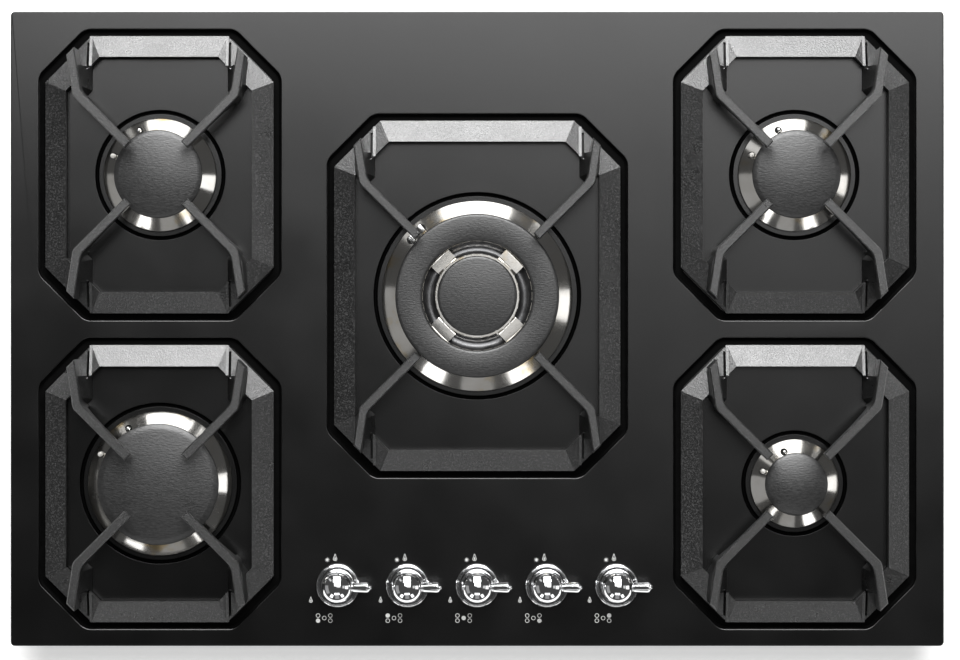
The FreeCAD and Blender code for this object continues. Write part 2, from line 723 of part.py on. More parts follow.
def make_top_plate():
    body = start_body("top_plate")
    outside = rounded_rectangle(half_width, half_depth, plate_corner)
    inside = rounded_rectangle(half_width - plate_sheet, half_depth - plate_sheet, plate_corner - plate_sheet)
    raise_from(body, "sheet", [outside], plate_under, plate_top)
    raise_from(body, "folded_rim", [outside, inside], rim_gap, plate_under)
    for item in BURNERS:
        raise_from(body, "basin_walls_" + item["name"], [basin_outline(item, plate_sheet)],
                   floor_under, plate_under)
    beads = [edge for item in BURNERS for edge in bead_edges(item, plate_sheet)]
    raise_from(body, "beads", beads, floor_under - bead_depth, floor_under)
    studs = [circle(*ear_hole(*place), stud_radius) for place in ear_places()]
    raise_from(body, "studs", studs, plate_under - stud_length, plate_under)
    for item in BURNERS:
        cut_down(body, "basin_" + item["name"], [basin_outline(item, ZERO)], floor_top, plate_top)
    grooves = [edge for item in BURNERS for edge in bead_edges(item, ZERO)]
    cut_down(body, "bead_grooves", grooves, floor_top - bead_depth, floor_top)
    holes = []
    for item in BURNERS:
        holes.append(circle(item["x"], item["y"], cup_neck(item) + neck_gap))
        for point in rod_points(item):
            holes.append(circle(*shifted(point, item["x"], item["y"]), electrode_radius + rod_gap))
        for point in screw_points(item):
            holes.append(circle(*shifted(point, item["x"], item["y"]), screw_radius + thread_gap))
    cut_down(body, "burner_holes", holes, floor_under, floor_top)
    last = cut_down(body, "stem_holes", [circle(x, knob_y, stem_hole) for x in knob_places()],
                    plate_under, plate_top)

    def upper_corner(edge):
        return level_edge(edge, plate_top) and not edge.Closed

    soften(body, last, "bent_lips", "Chamfer", lip_break, upper_corner)
    return body


def make_rim_seal():
    body = start_body("rim_seal")
    inner_x = cutout_width / 2 + seal_setback
    inner_y = cutout_depth / 2 + seal_setback
    outer = rounded_rectangle(inner_x + seal_width, inner_y + seal_width, seal_width)
    inner = rectangle(ZERO, ZERO, inner_x * 2, inner_y * 2)
    raise_from(body, "foam", [outer, inner], ZERO, plate_under)
    return body


# ---------------------------------------------------------------------------------- the tray

def recess_middle():
    """The recess lies in the tray's rear right corner."""
    return (tray_x - recess_width / 2, tray_y - recess_depth / 2)


def make_bottom_tray():
    body = start_body("bottom_tray")
    raise_from(body, "block", [rectangle(ZERO, ZERO, tray_width, tray_depth)], -tray_drop, floor_under)
    inner = rectangle(ZERO, ZERO, tray_width - tray_sheet * 2, tray_depth - tray_sheet * 2)
    cut_down(body, "hollow", [inner], tray_floor, floor_under)
    x, y = recess_middle()
    raise_from(body, "recess_walls", [rectangle(x, y, recess_width, recess_depth)], tray_floor, recess_floor)
    hollow = rectangle(x + tray_sheet, y + tray_sheet, recess_width, recess_depth)
    cut_down(body, "recess", [hollow], -tray_drop, recess_floor - tray_sheet)
    ears = []
    lifts = []
    for ear_middle, wall, inward in ear_places():
        ears.append(rectangle(ear_middle, wall + ear_reach * inward / 2, ear_width, ear_reach))
        lifts.append(rectangle(ear_middle, wall + tray_sheet * inward / 2, ear_width, tray_sheet))
    raise_from(body, "ear_walls", lifts, floor_under, plate_under - tray_sheet)
    raise_from(body, "ears", ears, plate_under - tray_sheet, plate_under)
    holes = [circle(*ear_hole(*place), stud_radius + neck_gap) for place in ear_places()]
    cut_down(body, "ear_holes", holes, plate_under - tray_sheet, plate_under)
    slots = []
    for column in range(8):
        across = tray_width * ((column - 3.5) / 10)
        for along in (tray_depth * -0.08, tray_depth * 0.1):
            slots.append(rectangle(across, along, bracket_width / 4, bracket_width * 2))
    cut_down(body, "air_slots", slots, -tray_drop, tray_floor)
    inlet_hole = inlet_thread + inlet_shoulder + neck_gap
    entries = [circle(rail_end, inlet_y, inlet_hole), circle(gland_x, inlet_y, gland_radius)]
    cut_down(body, "entries", entries, recess_floor - tray_sheet, recess_floor)
    return body


def make_tray_nuts():
    body = start_body("tray_nuts")
    rings = []
    for place in ear_places():
        x, y = ear_hole(*place)
        rings.append([(corner[0] + x, corner[1] + y) for corner in regular(6, nut_radius)])
        rings.append(circle(x, y, stud_radius + thread_gap))
    top = plate_under - tray_sheet
    raise_from(body, "nuts", rings, top - nut_height, top)
    return body


# ---------------------------------------------------------------------------------- one burner

def make_burner_cup(item):
    body = start_body("burner_cup_" + item["name"], item["x"], item["y"])
    neck = cup_neck(item)
    bore = neck - cup_wall
    flange = item["kind"]["crown"] - flange_setback
    rim = crown_seat
    foot = -cup_floor
    turn_up(body, "casting", [
        (ZERO, foot), (neck, foot), (neck, -flange_thick), (flange, -flange_thick), (flange, ZERO),
        (neck, ZERO), (neck, rim), (bore, rim), (bore, foot + cup_wall), (ZERO, foot + cup_wall)])
    raise_from(body, "jet_holder", [rectangle(ZERO, ZERO, holder_side, holder_side)],
               foot - holder_drop, foot)
    holes = [circle(*point, screw_radius + thread_gap) for point in screw_points(item)]
    holes += [circle(*point, electrode_radius + rod_gap) for point in rod_points(item)]
    cut_down(body, "flange_holes", holes, -flange_thick, ZERO)
    cut_down(body, "jet_seat", [circle(ZERO, ZERO, jet_radius + thread_gap)], foot, foot + cup_wall)
    return body


def make_cup_screws():
    """Two screws through the plate into the flange of every cup, as one set of like fasteners."""
    body = start_body("cup_screws")
    heads = []
    for item in BURNERS:
        heads += [shifted(point, item["x"], item["y"]) for point in screw_points(item)]
    raise_from(body, "shanks", [circle(*point, screw_radius) for point in heads],
               floor_top - screw_length, floor_top)
    hexes = [[shifted(corner, *point) for corner in regular(6, screw_head)] for point in heads]
    raise_from(body, "heads", hexes, floor_top, floor_top + screw_head_height)
    return body


def make_jets():
    """A brass jet on the floor of every cup."""
    body = start_body("gas_jets")
    foot = -cup_floor
    shanks = [circle(item["x"], item["y"], jet_radius) for item in BURNERS]
    raise_from(body, "shanks", shanks, foot, foot + cup_wall)
    hexes = []
    for item in BURNERS:
        hexes.append([shifted(corner, item["x"], item["y"]) for corner in regular(6, jet_radius + cup_wall)])
    raise_from(body, "hexagons", hexes, foot + cup_wall, foot + jet_height)
    bores = [circle(item["x"], item["y"], jet_hole) for item in BURNERS]
    cut_down(body, "bores", bores, foot, foot + jet_height)
    return body


def crown_profile(item):
    """The casting's section, from the mixing tube's foot round to the gas chamber's floor."""
    edge = item["kind"]["crown"]
    ports = item["kind"]["cap"] - port_setback
    spigot = cup_neck(item) - cup_wall - lift_gap
    tube = venturi_bore + venturi_wall
    lower = crown_seat + venturi_wall
    return [(venturi_bore, venturi_foot), (tube, venturi_foot), (tube, lower),
            (spigot - spigot_wall, lower), (spigot - spigot_wall, crown_seat - spigot_depth),
            (spigot, crown_seat - spigot_depth), (spigot, crown_seat), (edge, crown_seat),
            (edge, crown_seat + crown_edge), (ports, crown_shoulder), (ports, crown_top),
            (ports - port_wall, crown_top), (ports - port_wall, crown_floor), (venturi_bore, crown_floor)]


def cut_ports(body, name, outer, count):
    """Cuts one flame port through a port wall and repeats it round the crown."""
    slot = rectangle(outer - port_wall / 2, ZERO, port_wall * 2, port_width)
    first = cut_down(body, name, [slot], crown_top - port_depth, crown_top)
    return round_pattern(body, name + "_round", first, count)


def make_burner_crown(item):
    body = start_body("burner_crown_" + item["name"], item["x"], item["y"])
    turn_up(body, "casting", crown_profile(item))
    ports = item["kind"]["cap"] - port_setback
    if item["kind"] is wok:
        wall = ring_cap_hole - lift_gap
        turn_up(body, "inner_wall", [
            (wall, crown_floor), (wall + port_wall, crown_floor), (wall + port_wall, crown_top),
            (wall, crown_top)])
        turn_up(body, "inner_flame_ring", [
            (inner_crown_radius - port_wall, crown_floor), (inner_crown_radius, crown_floor),
            (inner_crown_radius, crown_top), (inner_crown_radius - port_wall, crown_top)])
        reach = wall + port_wall / 2
        bridges = rectangle(ZERO, ZERO, reach * 2, bridge_width)
        cross = [turned_outline(bridges, as_size(45)), turned_outline(bridges, as_size(135))]
        for number, outline in enumerate(cross):
            raise_from(body, "bridge_%d" % number, [outline], crown_floor, bridge_top)
        cut_down(body, "inner_chamber", [circle(ZERO, ZERO, inner_crown_radius - port_wall)],
                 crown_floor, bridge_top)
        cut_ports(body, "inner_port", inner_crown_radius, 20)
    rods = [circle(*point, electrode_radius + rod_lift_gap) for point in rod_points(item)]
    cut_down(body, "rod_holes", rods, crown_seat, crown_top)
    cut_ports(body, "port", ports, item["kind"]["ports"])
    return body


def turned_outline(corners, angle):
    """An outline turned about the origin."""
    turned = []
    for x, y in corners:
        turned.append((x * cosine(angle) - y * sine(angle), x * sine(angle) + y * cosine(angle)))
    return turned


def make_burner_cap(item):
    """A domed cap, centred by a ring inside the port wall; the middle burner's is a flat ring."""
    body = start_body("burner_cap_" + item["name"], item["x"], item["y"])
    edge = item["kind"]["cap"]
    spigot = edge - port_setback - port_wall - lift_gap
    seat = crown_top
    if item["kind"] is wok:
        inner = ring_cap_hole
        turn_up(body, "casting", [
            (inner, seat), (spigot - spigot_wall, seat), (spigot - spigot_wall, seat - spigot_depth),
            (spigot, seat - spigot_depth), (spigot, seat), (edge, seat),
            (edge, seat + cap_thick), (edge - cap_thick, seat + cap_thick + cap_thick / 2),
            (inner + cap_thick, seat + cap_thick + cap_thick / 2), (inner, seat + cap_thick)])
        return body
    top = seat + cap_thick + cap_rise
    turn_up(body, "casting", [
        (ZERO, top - cap_shell), (spigot - spigot_wall, seat), (spigot - spigot_wall, seat - spigot_depth),
        (spigot, seat - spigot_depth), (spigot, seat), (edge, seat),
        (edge, seat + cap_thick, dome_radius(edge, cap_rise)), (ZERO, top)])
    return body


def make_inner_cap():
    body = start_body("burner_cap_centre_inner", ZERO, wok_burner_y)
    spigot = inner_crown_radius - port_wall - lift_gap
    seat = crown_top
    top = seat + cap_thick + cap_thick / 2
    turn_up(body, "casting", [
        (ZERO, seat), (spigot - spigot_wall, seat), (spigot - spigot_wall, seat - spigot_depth),
        (spigot, seat - spigot_depth), (spigot, seat), (inner_cap_radius, seat),
        (inner_cap_radius, seat + cap_thick), (inner_cap_radius - cap_thick, top), (ZERO, top)])
    return body


def make_rods(label, key, radius, top):
    """One upright rod a burner, held under the cup's flange by its six-sided collar."""
    body = start_body(label)
    places = [shifted(around(*item[key]), item["x"], item["y"]) for item in BURNERS]
    rods = raise_from(body, "rods", [circle(*place, radius) for place in places], -rod_foot, top)
    soften(body, rods, "blunt_tips", "Chamfer", radius / 2, lambda edge: level_edge(edge, top))
    collars = [[shifted(corner, *place) for corner in regular(6, rod_collar)] for place in places]
    raise_from(body, "collars", collars, -flange_thick - rod_collar_height, -flange_thick)
    return body


# ---------------------------------------------------------------------------------- pan supports

def support_sizes(name, basin, first, bend, words):
    """The sizes that the two patterns of pan support don't share."""
    return {"name": name, "basin": basin,
            "tip": named(name + "_tip", first, words + ", finger's tip from the burner's middle"),
            "bend": named(name + "_bend", bend, words + ", finger's bend, right and rear of the middle")}


side_support = support_sizes("side_support", (side_basin_x, side_basin_y), 31.8, 62.6, "side support")
wok_support = support_sizes("wok_support", (wok_basin_x, wok_basin_y), 66.5, 90.4, "middle support")
doc.recompute()


def finger_outline(kind, cut_sum):
    """The finger in plan: out from the tip at 45 degrees, then bent in an arc towards the rear."""
    half = finger_width / 2
    eighth = as_size(45)
    tip = kind["tip"] * cosine(eighth)
    bend = kind["bend"]
    side = half * cosine(eighth)
    heading = as_size(90) - finger_lean
    half_bend = (heading - eighth) / 2
    mitre = half / cosine(half_bend)
    middle = (heading + eighth) / 2
    across = (sine(middle) * mitre, cosine(middle) * mitre)
    run = (cosine(heading), sine(heading))
    inner = bend_radius
    outer = bend_radius / 2
    tangent = sine(half_bend) / cosine(half_bend)
    offset = (sine(heading) * half, cosine(heading) * half)
    ends = []
    for sign in (1, -1):
        start = (bend + offset[0] * sign, bend - offset[1] * sign)
        length = (cut_sum - start[0] - start[1]) / (run[0] + run[1])
        ends.append((start[0] + run[0] * length, start[1] + run[1] * length))
    right = (bend + across[0], bend - across[1])
    left = (bend - across[0], bend + across[1])
    early = cosine(eighth) * tangent
    return [(tip - side, tip + side), (tip + side, tip - side),
            (right[0] - early * outer, right[1] - early * outer, outer),
            (right[0] + run[0] * tangent * outer, right[1] + run[1] * tangent * outer),
            ends[0], ends[1],
            (left[0] + run[0] * tangent * inner, left[1] + run[1] * tangent * inner, -inner),
            (left[0] - early * inner, left[1] - early * inner)]


def make_pan_support(item):
    kind = wok_support if item["kind"] is wok else side_support
    body = start_body("pan_support_" + item["name"], item["x"], item["y"])
    half_x = kind["basin"][0] - support_gap
    half_y = kind["basin"][1] - support_gap
    slant = half_x + half_y - support_cut
    # The frame: one section carried round the eight-sided path.
    path = start_sketch(body, "frame_path", "XY_Plane", frame_foot)
    corners = octagon(half_x, half_y, support_cut)
    draw(path, [[(half_x, ZERO)] + corners[1:] + corners[:1]])
    section = start_sketch(body, "frame_section", "XZ_Plane")
    foot = frame_foot
    edge = foot + frame_edge
    crest = edge + frame_rise
    inner = half_x - frame_bevel
    draw(section, [[
        (half_x, foot), (half_x, edge), (inner, crest), (inner, crest - frame_edge * 2),
        (inner + frame_wall, crest - frame_edge * 2), (inner + frame_wall, crest - frame_edge),
        (half_x - frame_wall, edge - frame_wall), (half_x - frame_wall, foot)]])
    frame = body.newObject("PartDesign::AdditivePipe", "frame")
    frame.Profile = section
    frame.Spine = (path, ["Edge%d" % (number + 1) for number in range(9)])
    frame.Transition = 1
    doc.recompute()
    # One finger with its arch, its spread leg and the slot beside its root.
    root_line = slant - root_setback * root(as_size(2))
    finger = raise_from(body, "finger", [finger_outline(kind, root_line)], foot, finger_top)
    spread = kind["bend"] * root(as_size(2))
    knee = spread - arch_end
    tip_under = finger_top - tip_depth
    arch = side_profile(body, "arch", [[
        (kind["tip"] - tip_depth, foot - frame_edge), (knee, foot - frame_edge),
        (knee, foot + arch_knee, arch_radius), (kind["tip"] + arch_start, tip_under),
        (kind["tip"] - tip_depth, tip_under)]], ZERO, finger_width * 2, "XZ_Plane", as_size(45), True)
    leg = make_leg(body, kind, foot)
    slot, lip = cut_slot(body, kind, slant, foot, edge, crest)
    fingers = mirror_four_ways(body, "four_fingers", [finger, arch, leg, slot, lip])
    broken = soften(body, fingers, "upper_edges", "Chamfer", finger_break,
                    lambda edge: level_edge(edge, finger_top))
    body.Tip = broken
    return body


def make_leg(body, kind, foot):
    """The leg under the bend: wide on the basin's floor, as narrow as the finger at its top."""
    bend = kind["bend"]
    half = finger_width / 2
    low = start_sketch(body, "leg_foot", "XY_Plane", foot)
    draw(low, [[
        (bend - leg_spread / 2, bend + half / 3), (bend + half, bend + half / 3),
        (bend + leg_spread, bend + leg_spread), (bend + leg_spread, bend + leg_length),
        (bend - leg_spread, bend + leg_length), (bend - leg_spread, bend + leg_spread / 2 + half / 3)]])
    high = start_sketch(body, "leg_head", "XY_Plane", foot + leg_top)
    lean = sine(finger_lean) / cosine(finger_lean)
    drift = leg_length * lean
    draw(high, [[
        (bend - half / 2, bend + half), (bend + half, bend + half / 3),
        (bend + half + half / 2, bend + leg_spread), (bend + half + drift, bend + leg_length),
        (bend - half + drift, bend + leg_length), (bend - half / 2, bend + leg_spread / 2 + half)]])
    leg = body.newObject("PartDesign::AdditiveLoft", "leg")
    leg.Profile = low
    leg.Sections = [high]
    leg.Ruled = True
    doc.recompute()
    return leg


def cut_slot(body, kind, slant, foot, edge, crest):
    """The slot through the bevel beside a finger's root, and the raised lip along it."""
    near = kind["bend"] - slot_side + slot_width
    lip_middle = near - slot_width - lip_width / 2
    far = slant - near
    slot = cut_down(body, "slot", [rectangle(near - slot_width / 2, far - slot_length / 2 - frame_wall / 2,
                                             slot_width, slot_length)], foot, crest)
    start = slant - lip_middle
    run = frame_bevel * root(as_size(2))
    lip = side_profile(body, "lip", [[
        (start, edge - lip_height), (start, edge + lip_height), (start - run, crest + lip_height),
        (start - run, crest - lip_height)]], lip_middle, lip_width, "YZ_Plane")
    return slot, lip


def make_support_feet(item):
    """Four rubber pads under the legs."""
    kind = wok_support if item["kind"] is wok else side_support
    body = start_body("support_feet_" + item["name"], item["x"], item["y"])
    x = kind["bend"]
    y = kind["bend"] + leg_length / 2
    places = [(x * across, y * along) for across in (-1, 1) for along in (-1, 1)]
    pads = [rectangle(*place, foot_width, foot_length) for place in places]
    raise_from(body, "pads", pads, floor_top, frame_foot)
    return body


# ---------------------------------------------------------------------------------- the knobs

def make_knob_bezels():
    """Five bezel rings on the plate, each with a raised rim and a groove inside it."""
    body = start_body("knob_bezels")
    inner = knob_skirt + knob_gap
    top = plate_top + bezel_height
    rims = []
    floors = []
    for x in knob_places():
        rims += [circle(x, knob_y, bezel_radius), circle(x, knob_y, bezel_radius - bezel_rim)]
        floors += [circle(x, knob_y, bezel_radius), circle(x, knob_y, inner)]
    raise_from(body, "rings", floors, plate_top, top - bezel_groove)
    rim = raise_from(body, "rims", rims, top - bezel_groove, top)
    soften(body, rim, "rim_bevels", "Chamfer", bezel_rim / 3, lambda edge: level_edge(edge, top))
    return body


def stem_profile(radius, flat):
    """A round stem's section with one flat, towards the front."""
    half = root(radius * radius - flat * flat)
    return [(half, -flat, radius), (ZERO, radius, radius), (-half, -flat)]


def make_knob(number, x):
    body = start_body("knob_%d" % number, x, knob_y)
    foot = plate_top + knob_foot
    shoulder = plate_top + knob_shoulder
    waist = plate_top + bezel_height + press_travel + knob_gap
    turn_up(body, "barrel", [
        (ZERO, foot), (knob_skirt - cup_wall, foot), (knob_skirt, foot + knob_gap), (knob_skirt, waist),
        (knob_radius, waist + knob_gap), (knob_radius, shoulder, dome_radius(knob_radius, knob_dome)),
        (ZERO, shoulder + knob_dome)])
    make_lever(body)
    bore = stem_profile(stem_radius + knob_bore_gap, stem_flat + knob_bore_gap)
    cut_down(body, "stem_bore", [bore], foot, plate_top + stem_top + knob_bore_gap)
    return body


def make_lever(body):
    """The lever: an eight-sided bar that widens outward and ends in a blunt point."""
    height = plate_top + lever_height
    places = [(lever_start, lever_root), (lever_reach - lever_point, lever_end), (lever_reach, lever_tip)]
    sections = []
    for name, (place, radius) in zip(("root", "end", "tip"), places):
        sketch = start_sketch(body, "lever_" + name, "YZ_Plane", place)
        corners = [(corner[0], corner[1] + height) for corner in regular(8, radius)]
        draw(sketch, [corners])
        sections.append(sketch)
    lever = body.newObject("PartDesign::AdditiveLoft", "lever")
    lever.Profile = sections[0]
    lever.Sections = sections[1:]
    lever.Ruled = True
    doc.recompute()
    return lever


def stem_foot():
    return -tap_top - tap_bore_depth + press_travel + stem_room


def make_tap_stem(number, x):
    body = start_body("tap_stem_%d" % number, x, knob_y)
    split = plate_top + knob_foot - press_travel
    raise_from(body, "shaft", [circle(ZERO, ZERO, stem_radius)], stem_foot(), split)
    raise_from(body, "flatted_end", [stem_profile(stem_radius, stem_flat)], split, plate_top + stem_top)
    return body


def make_press_collar(number, x):
    """The collar that a pressed stem carries down onto the ignition switch."""
    body = start_body("press_collar_%d" % number, x, knob_y)
    low = -tap_top + switch_height + collar_rest
    raise_from(body, "ring", [circle(ZERO, ZERO, collar_radius), circle(ZERO, ZERO, stem_radius + tap_gap)],
               low, low + collar_height)
    return body


# ---------------------------------------------------------------------------------- gas

def make_gas_taps():
    """Five brass taps saddled on the gas rail, one under each knob."""
    body = start_body("gas_taps")
    blocks = [rectangle(x, knob_y, tap_width, tap_depth) for x in knob_places()]
    raise_from(body, "blocks", blocks, -tap_foot, -tap_top)
    bores = [circle(x, knob_y, stem_radius + tap_gap) for x in knob_places()]
    cut_down(body, "stem_bores", bores, -tap_top - tap_bore_depth, -tap_top)
    saddle = [circle(knob_y, -rail_drop, rail_radius + rail_gap)]
    side_profile(body, "saddles", saddle, ZERO, knob_pitch * 6, "YZ_Plane", ZERO, True)
    return body


def make_switches():
    """An ignition switch on every tap, with a well for the press collar."""
    body = start_body("ignition_switches")
    boxes = []
    for x in knob_places():
        boxes.append(rectangle(x, knob_y, switch_width, switch_depth))
        boxes.append(circle(x, knob_y, collar_radius + switch_gap))
    raise_from(body, "boxes", boxes, -tap_top, -tap_top + switch_height)
    return body


def carry_along(body, name, corners, height, radius):
    """A round pipe along a level path, with rounded turns."""
    path = start_sketch(body, name + "_path", "XY_Plane", height)
    drawing = Drawing(path)
    drawing.chain(corners)
    drawing.finish()
    first, second = corners[0], corners[1]
    along_x = abs(first[0].number - second[0].number) > abs(first[1].number - second[1].number)
    role = "YZ_Plane" if along_x else "XZ_Plane"
    offset = first[0] if along_x else -first[1]
    section = start_sketch(body, name + "_section", role, offset)
    across = first[1] if along_x else first[0]
    draw(section, [circle(across, height, radius)])
    pipe = body.newObject("PartDesign::AdditivePipe", name)
    pipe.Profile = section
    pipe.Spine = (path, ["Edge%d" % (number + 1) for number in range(len(corners) - 1)])
    pipe.Transition = 2
    doc.recompute()
    return pipe


def make_burner_pipes():
    """A pipe from each tap to its burner; the one to the rear right crosses under its neighbour."""
    body = start_body("burner_pipes")
    start_y = knob_y + tap_depth / 2
    columns = knob_places()
    side = holder_side / 2
    turn_y = -lane_y
    rear = rear_burner_y
    front = front_burner_y
    near_x = side_burner_x - side
    routes = [
        ("pipe_left_front", columns[0], [(columns[0] + (turn_y - front), front),
                                         (-near_x, front)], upper_pipe),
        ("pipe_left_rear", columns[1], [(-lane_x, turn_y + columns[1] + lane_x), (-lane_x, rear),
                                        (-near_x, rear)], upper_pipe),
        ("pipe_centre", columns[2], [(columns[2], wok_burner_y - side)], upper_pipe),
        ("pipe_right_front", columns[3], [(columns[3] + (front - turn_y), front),
                                          (near_x, front)], upper_pipe),
        ("pipe_right_rear", columns[4], [(columns[4], rear - lane_x + columns[4]), (lane_x, rear),
                                         (near_x, rear)], lower_pipe),
    ]
    for name, x, rest, depth in routes:
        corners = [(x, start_y)]
        if name in ("pipe_left_front", "pipe_left_rear", "pipe_right_front"):
            corners.append((x, turn_y))
        carry_along(body, name, corners + rest, -depth, pipe_radius)
    return body


def make_gas_rail():
    """The rail under the taps, and the feed pipe from the inlet to it."""
    body = start_body("gas_rail")
    corners = [(-rail_left, knob_y), (rail_end, knob_y), (rail_end, riser_y)]
    carry_along(body, "rail", corners, -rail_drop, rail_radius)
    rise = recess_floor + inlet_block / 2
    raise_from(body, "riser", [circle(rail_end, riser_y, rail_radius)], -rail_drop, rise)
    section = start_sketch(body, "feed_section", "XZ_Plane", -riser_y)
    draw(section, [circle(rail_end, rise, rail_radius)])
    feed = body.newObject("PartDesign::Pad", "feed")
    feed.Profile = section
    feed.Reversed = True
    feed.setExpression("Length", (inlet_y - inlet_block / 2 - riser_y).formula)
    doc.recompute()
    return body


def make_rail_brackets():
    """Two posts on the tray's floor that carry the rail."""
    body = start_body("rail_brackets")
    posts = [rectangle(bracket_x * side, knob_y, bracket_width, bracket_depth) for side in (-1, 1)]
    raise_from(body, "posts", posts, tray_floor, -rail_drop)
    saddle = [circle(knob_y, -rail_drop, rail_radius + rail_gap)]
    side_profile(body, "saddles", saddle, ZERO, knob_pitch * 6, "YZ_Plane", ZERO, True)
    return body


def make_gas_inlet():
    """The inlet elbow: a block on the recess, with a male thread that points down."""
    body = start_body("gas_inlet_elbow", rail_end, inlet_y)
    side = rectangle(ZERO, ZERO, inlet_block, inlet_block)
    raise_from(body, "elbow", [side], recess_floor, recess_floor + inlet_block)
    under = recess_floor - tray_sheet
    raise_from(body, "shoulder", [circle(ZERO, ZERO, inlet_thread + inlet_shoulder)], under, recess_floor)
    raise_from(body, "thread", [circle(ZERO, ZERO, inlet_thread)], under - inlet_length, under)
    cut_down(body, "bore", [circle(ZERO, ZERO, inlet_bore)], under - inlet_length, recess_floor)
    return body


# ---------------------------------------------------------------------------------- mains

def make_spark_generator():
    body = start_body("spark_generator", spark_box_x, spark_box_y)
    raise_from(body, "case", [rectangle(ZERO, ZERO, spark_box_width, spark_box_depth)],
               tray_floor, tray_floor + spark_box_height)
    pegs = [rectangle(spark_box_width * ((number - 2) / 6), -spark_box_depth / 4, screw_head * 2,
                      screw_head * 2) for number in range(5)]
    raise_from(body, "outlets", pegs, tray_floor + spark_box_height,
               tray_floor + spark_box_height + spark_box_height / 4)
    return body


def make_terminal_box():
    body = start_body("mains_terminal_box", gland_x, inlet_y)
    raise_from(body, "case", [rectangle(ZERO, ZERO, terminal_width, terminal_depth)],
               recess_floor, recess_floor + terminal_height)
    return body


def make_cable_gland():
    body = start_body("cable_gland", gland_x, inlet_y)
    low = recess_floor - tray_sheet
    raise_from(body, "nut", [regular(6, gland_radius + cup_wall), circle(ZERO, ZERO, gland_bore)],
               low - tray_sheet * 3, low)
    barrel = [circle(ZERO, ZERO, gland_radius - thread_gap), circle(ZERO, ZERO, gland_bore)]
    raise_from(body, "barrel", barrel, low - gland_length, recess_floor)
    return body


def make_worktop_clamps():
    """Four clamps on the tray's side walls, folded flat as they are before fitting."""
    body = start_body("worktop_clamps")
    blocks = []
    screws = []
    arms = []
    for side in (-1, 1):
        for end in (-1, 1):
            wall = tray_x * side
            x = wall + clamp_depth * side / 2
            y = (clamp_x * end) * 0.5
            blocks.append(rectangle(x, y, clamp_depth, clamp_width))
            screws.append(circle(x, y, clamp_screw))
            arms.append(rectangle(x, y - clamp_arm * end / 2 + clamp_width * end / 2, clamp_depth, clamp_arm))
    block_top = floor_under - rod_collar_height
    raise_from(body, "blocks", blocks, block_top - clamp_depth, block_top)
    raise_from(body, "screws", screws, -clamp_drop - clamp_screw, block_top - clamp_depth)
    raise_from(body, "arms", arms, -clamp_drop - tray_sheet, -clamp_drop + tray_sheet)
    return body


# ---------------------------------------------------------------------------------- assembly

pieces = [make_top_plate(), make_rim_seal(), make_bottom_tray(), make_tray_nuts(), make_cup_screws(),
          make_jets()]
for item in BURNERS:
    pieces.append(make_burner_cup(item))
    pieces.append(make_burner_crown(item))
    pieces.append(make_burner_cap(item))
    pieces.append(make_pan_support(item))
    pieces.append(make_support_feet(item))
pieces.append(make_inner_cap())
pieces.append(make_rods("spark_electrodes", "spark", electrode_radius, electrode_top))
pieces.append(make_rods("flame_sensors", "sensor", sensor_radius, sensor_top))
pieces.append(make_knob_bezels())
for number, x in enumerate(knob_places()):
    pieces.append(make_knob(number + 1, x))
    pieces.append(make_tap_stem(number + 1, x))
    pieces.append(make_press_collar(number + 1, x))
pieces += [make_gas_taps(), make_switches(), make_gas_rail(), make_rail_brackets(), make_burner_pipes(),
           make_gas_inlet(), make_spark_generator(), make_terminal_box(), make_cable_gland(),
           make_worktop_clamps()]

doc.recompute()
for thing in doc.Objects:
    if "Invalid" in thing.State or "Error" in thing.State:
        raise ValueError("%s is %s" % (thing.Label, thing.State))
for piece in pieces:
    if piece.Shape.isNull() or not piece.Shape.isValid():
        raise ValueError("%s has no valid shape" % piece.Label)

os.makedirs("parts", exist_ok=True)
for piece in pieces:
    piece.Shape.exportStep("parts/%s.step" % piece.Label)
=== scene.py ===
import math

import bmesh
import bpy
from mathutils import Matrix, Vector
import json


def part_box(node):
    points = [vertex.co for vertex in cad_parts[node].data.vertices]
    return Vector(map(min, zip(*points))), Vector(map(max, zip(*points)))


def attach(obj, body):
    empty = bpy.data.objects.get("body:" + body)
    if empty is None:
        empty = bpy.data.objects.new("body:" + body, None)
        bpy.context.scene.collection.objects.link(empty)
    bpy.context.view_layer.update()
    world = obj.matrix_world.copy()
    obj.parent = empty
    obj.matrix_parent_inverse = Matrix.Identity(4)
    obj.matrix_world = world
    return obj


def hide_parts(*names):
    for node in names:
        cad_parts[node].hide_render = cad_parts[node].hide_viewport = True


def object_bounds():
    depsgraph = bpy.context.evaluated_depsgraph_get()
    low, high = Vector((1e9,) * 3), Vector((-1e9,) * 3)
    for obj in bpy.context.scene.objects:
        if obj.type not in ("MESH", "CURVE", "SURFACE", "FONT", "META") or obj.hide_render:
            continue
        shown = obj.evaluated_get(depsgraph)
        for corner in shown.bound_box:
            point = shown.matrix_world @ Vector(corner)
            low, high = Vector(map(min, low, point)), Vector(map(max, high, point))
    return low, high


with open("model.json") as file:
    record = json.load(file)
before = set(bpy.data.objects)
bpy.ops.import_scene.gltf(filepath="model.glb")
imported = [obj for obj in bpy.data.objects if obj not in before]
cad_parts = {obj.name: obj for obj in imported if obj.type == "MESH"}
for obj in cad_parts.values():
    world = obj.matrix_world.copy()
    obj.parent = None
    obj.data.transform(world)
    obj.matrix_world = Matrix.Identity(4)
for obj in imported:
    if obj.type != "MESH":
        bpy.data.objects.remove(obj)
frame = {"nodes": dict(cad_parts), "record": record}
cad_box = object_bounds()

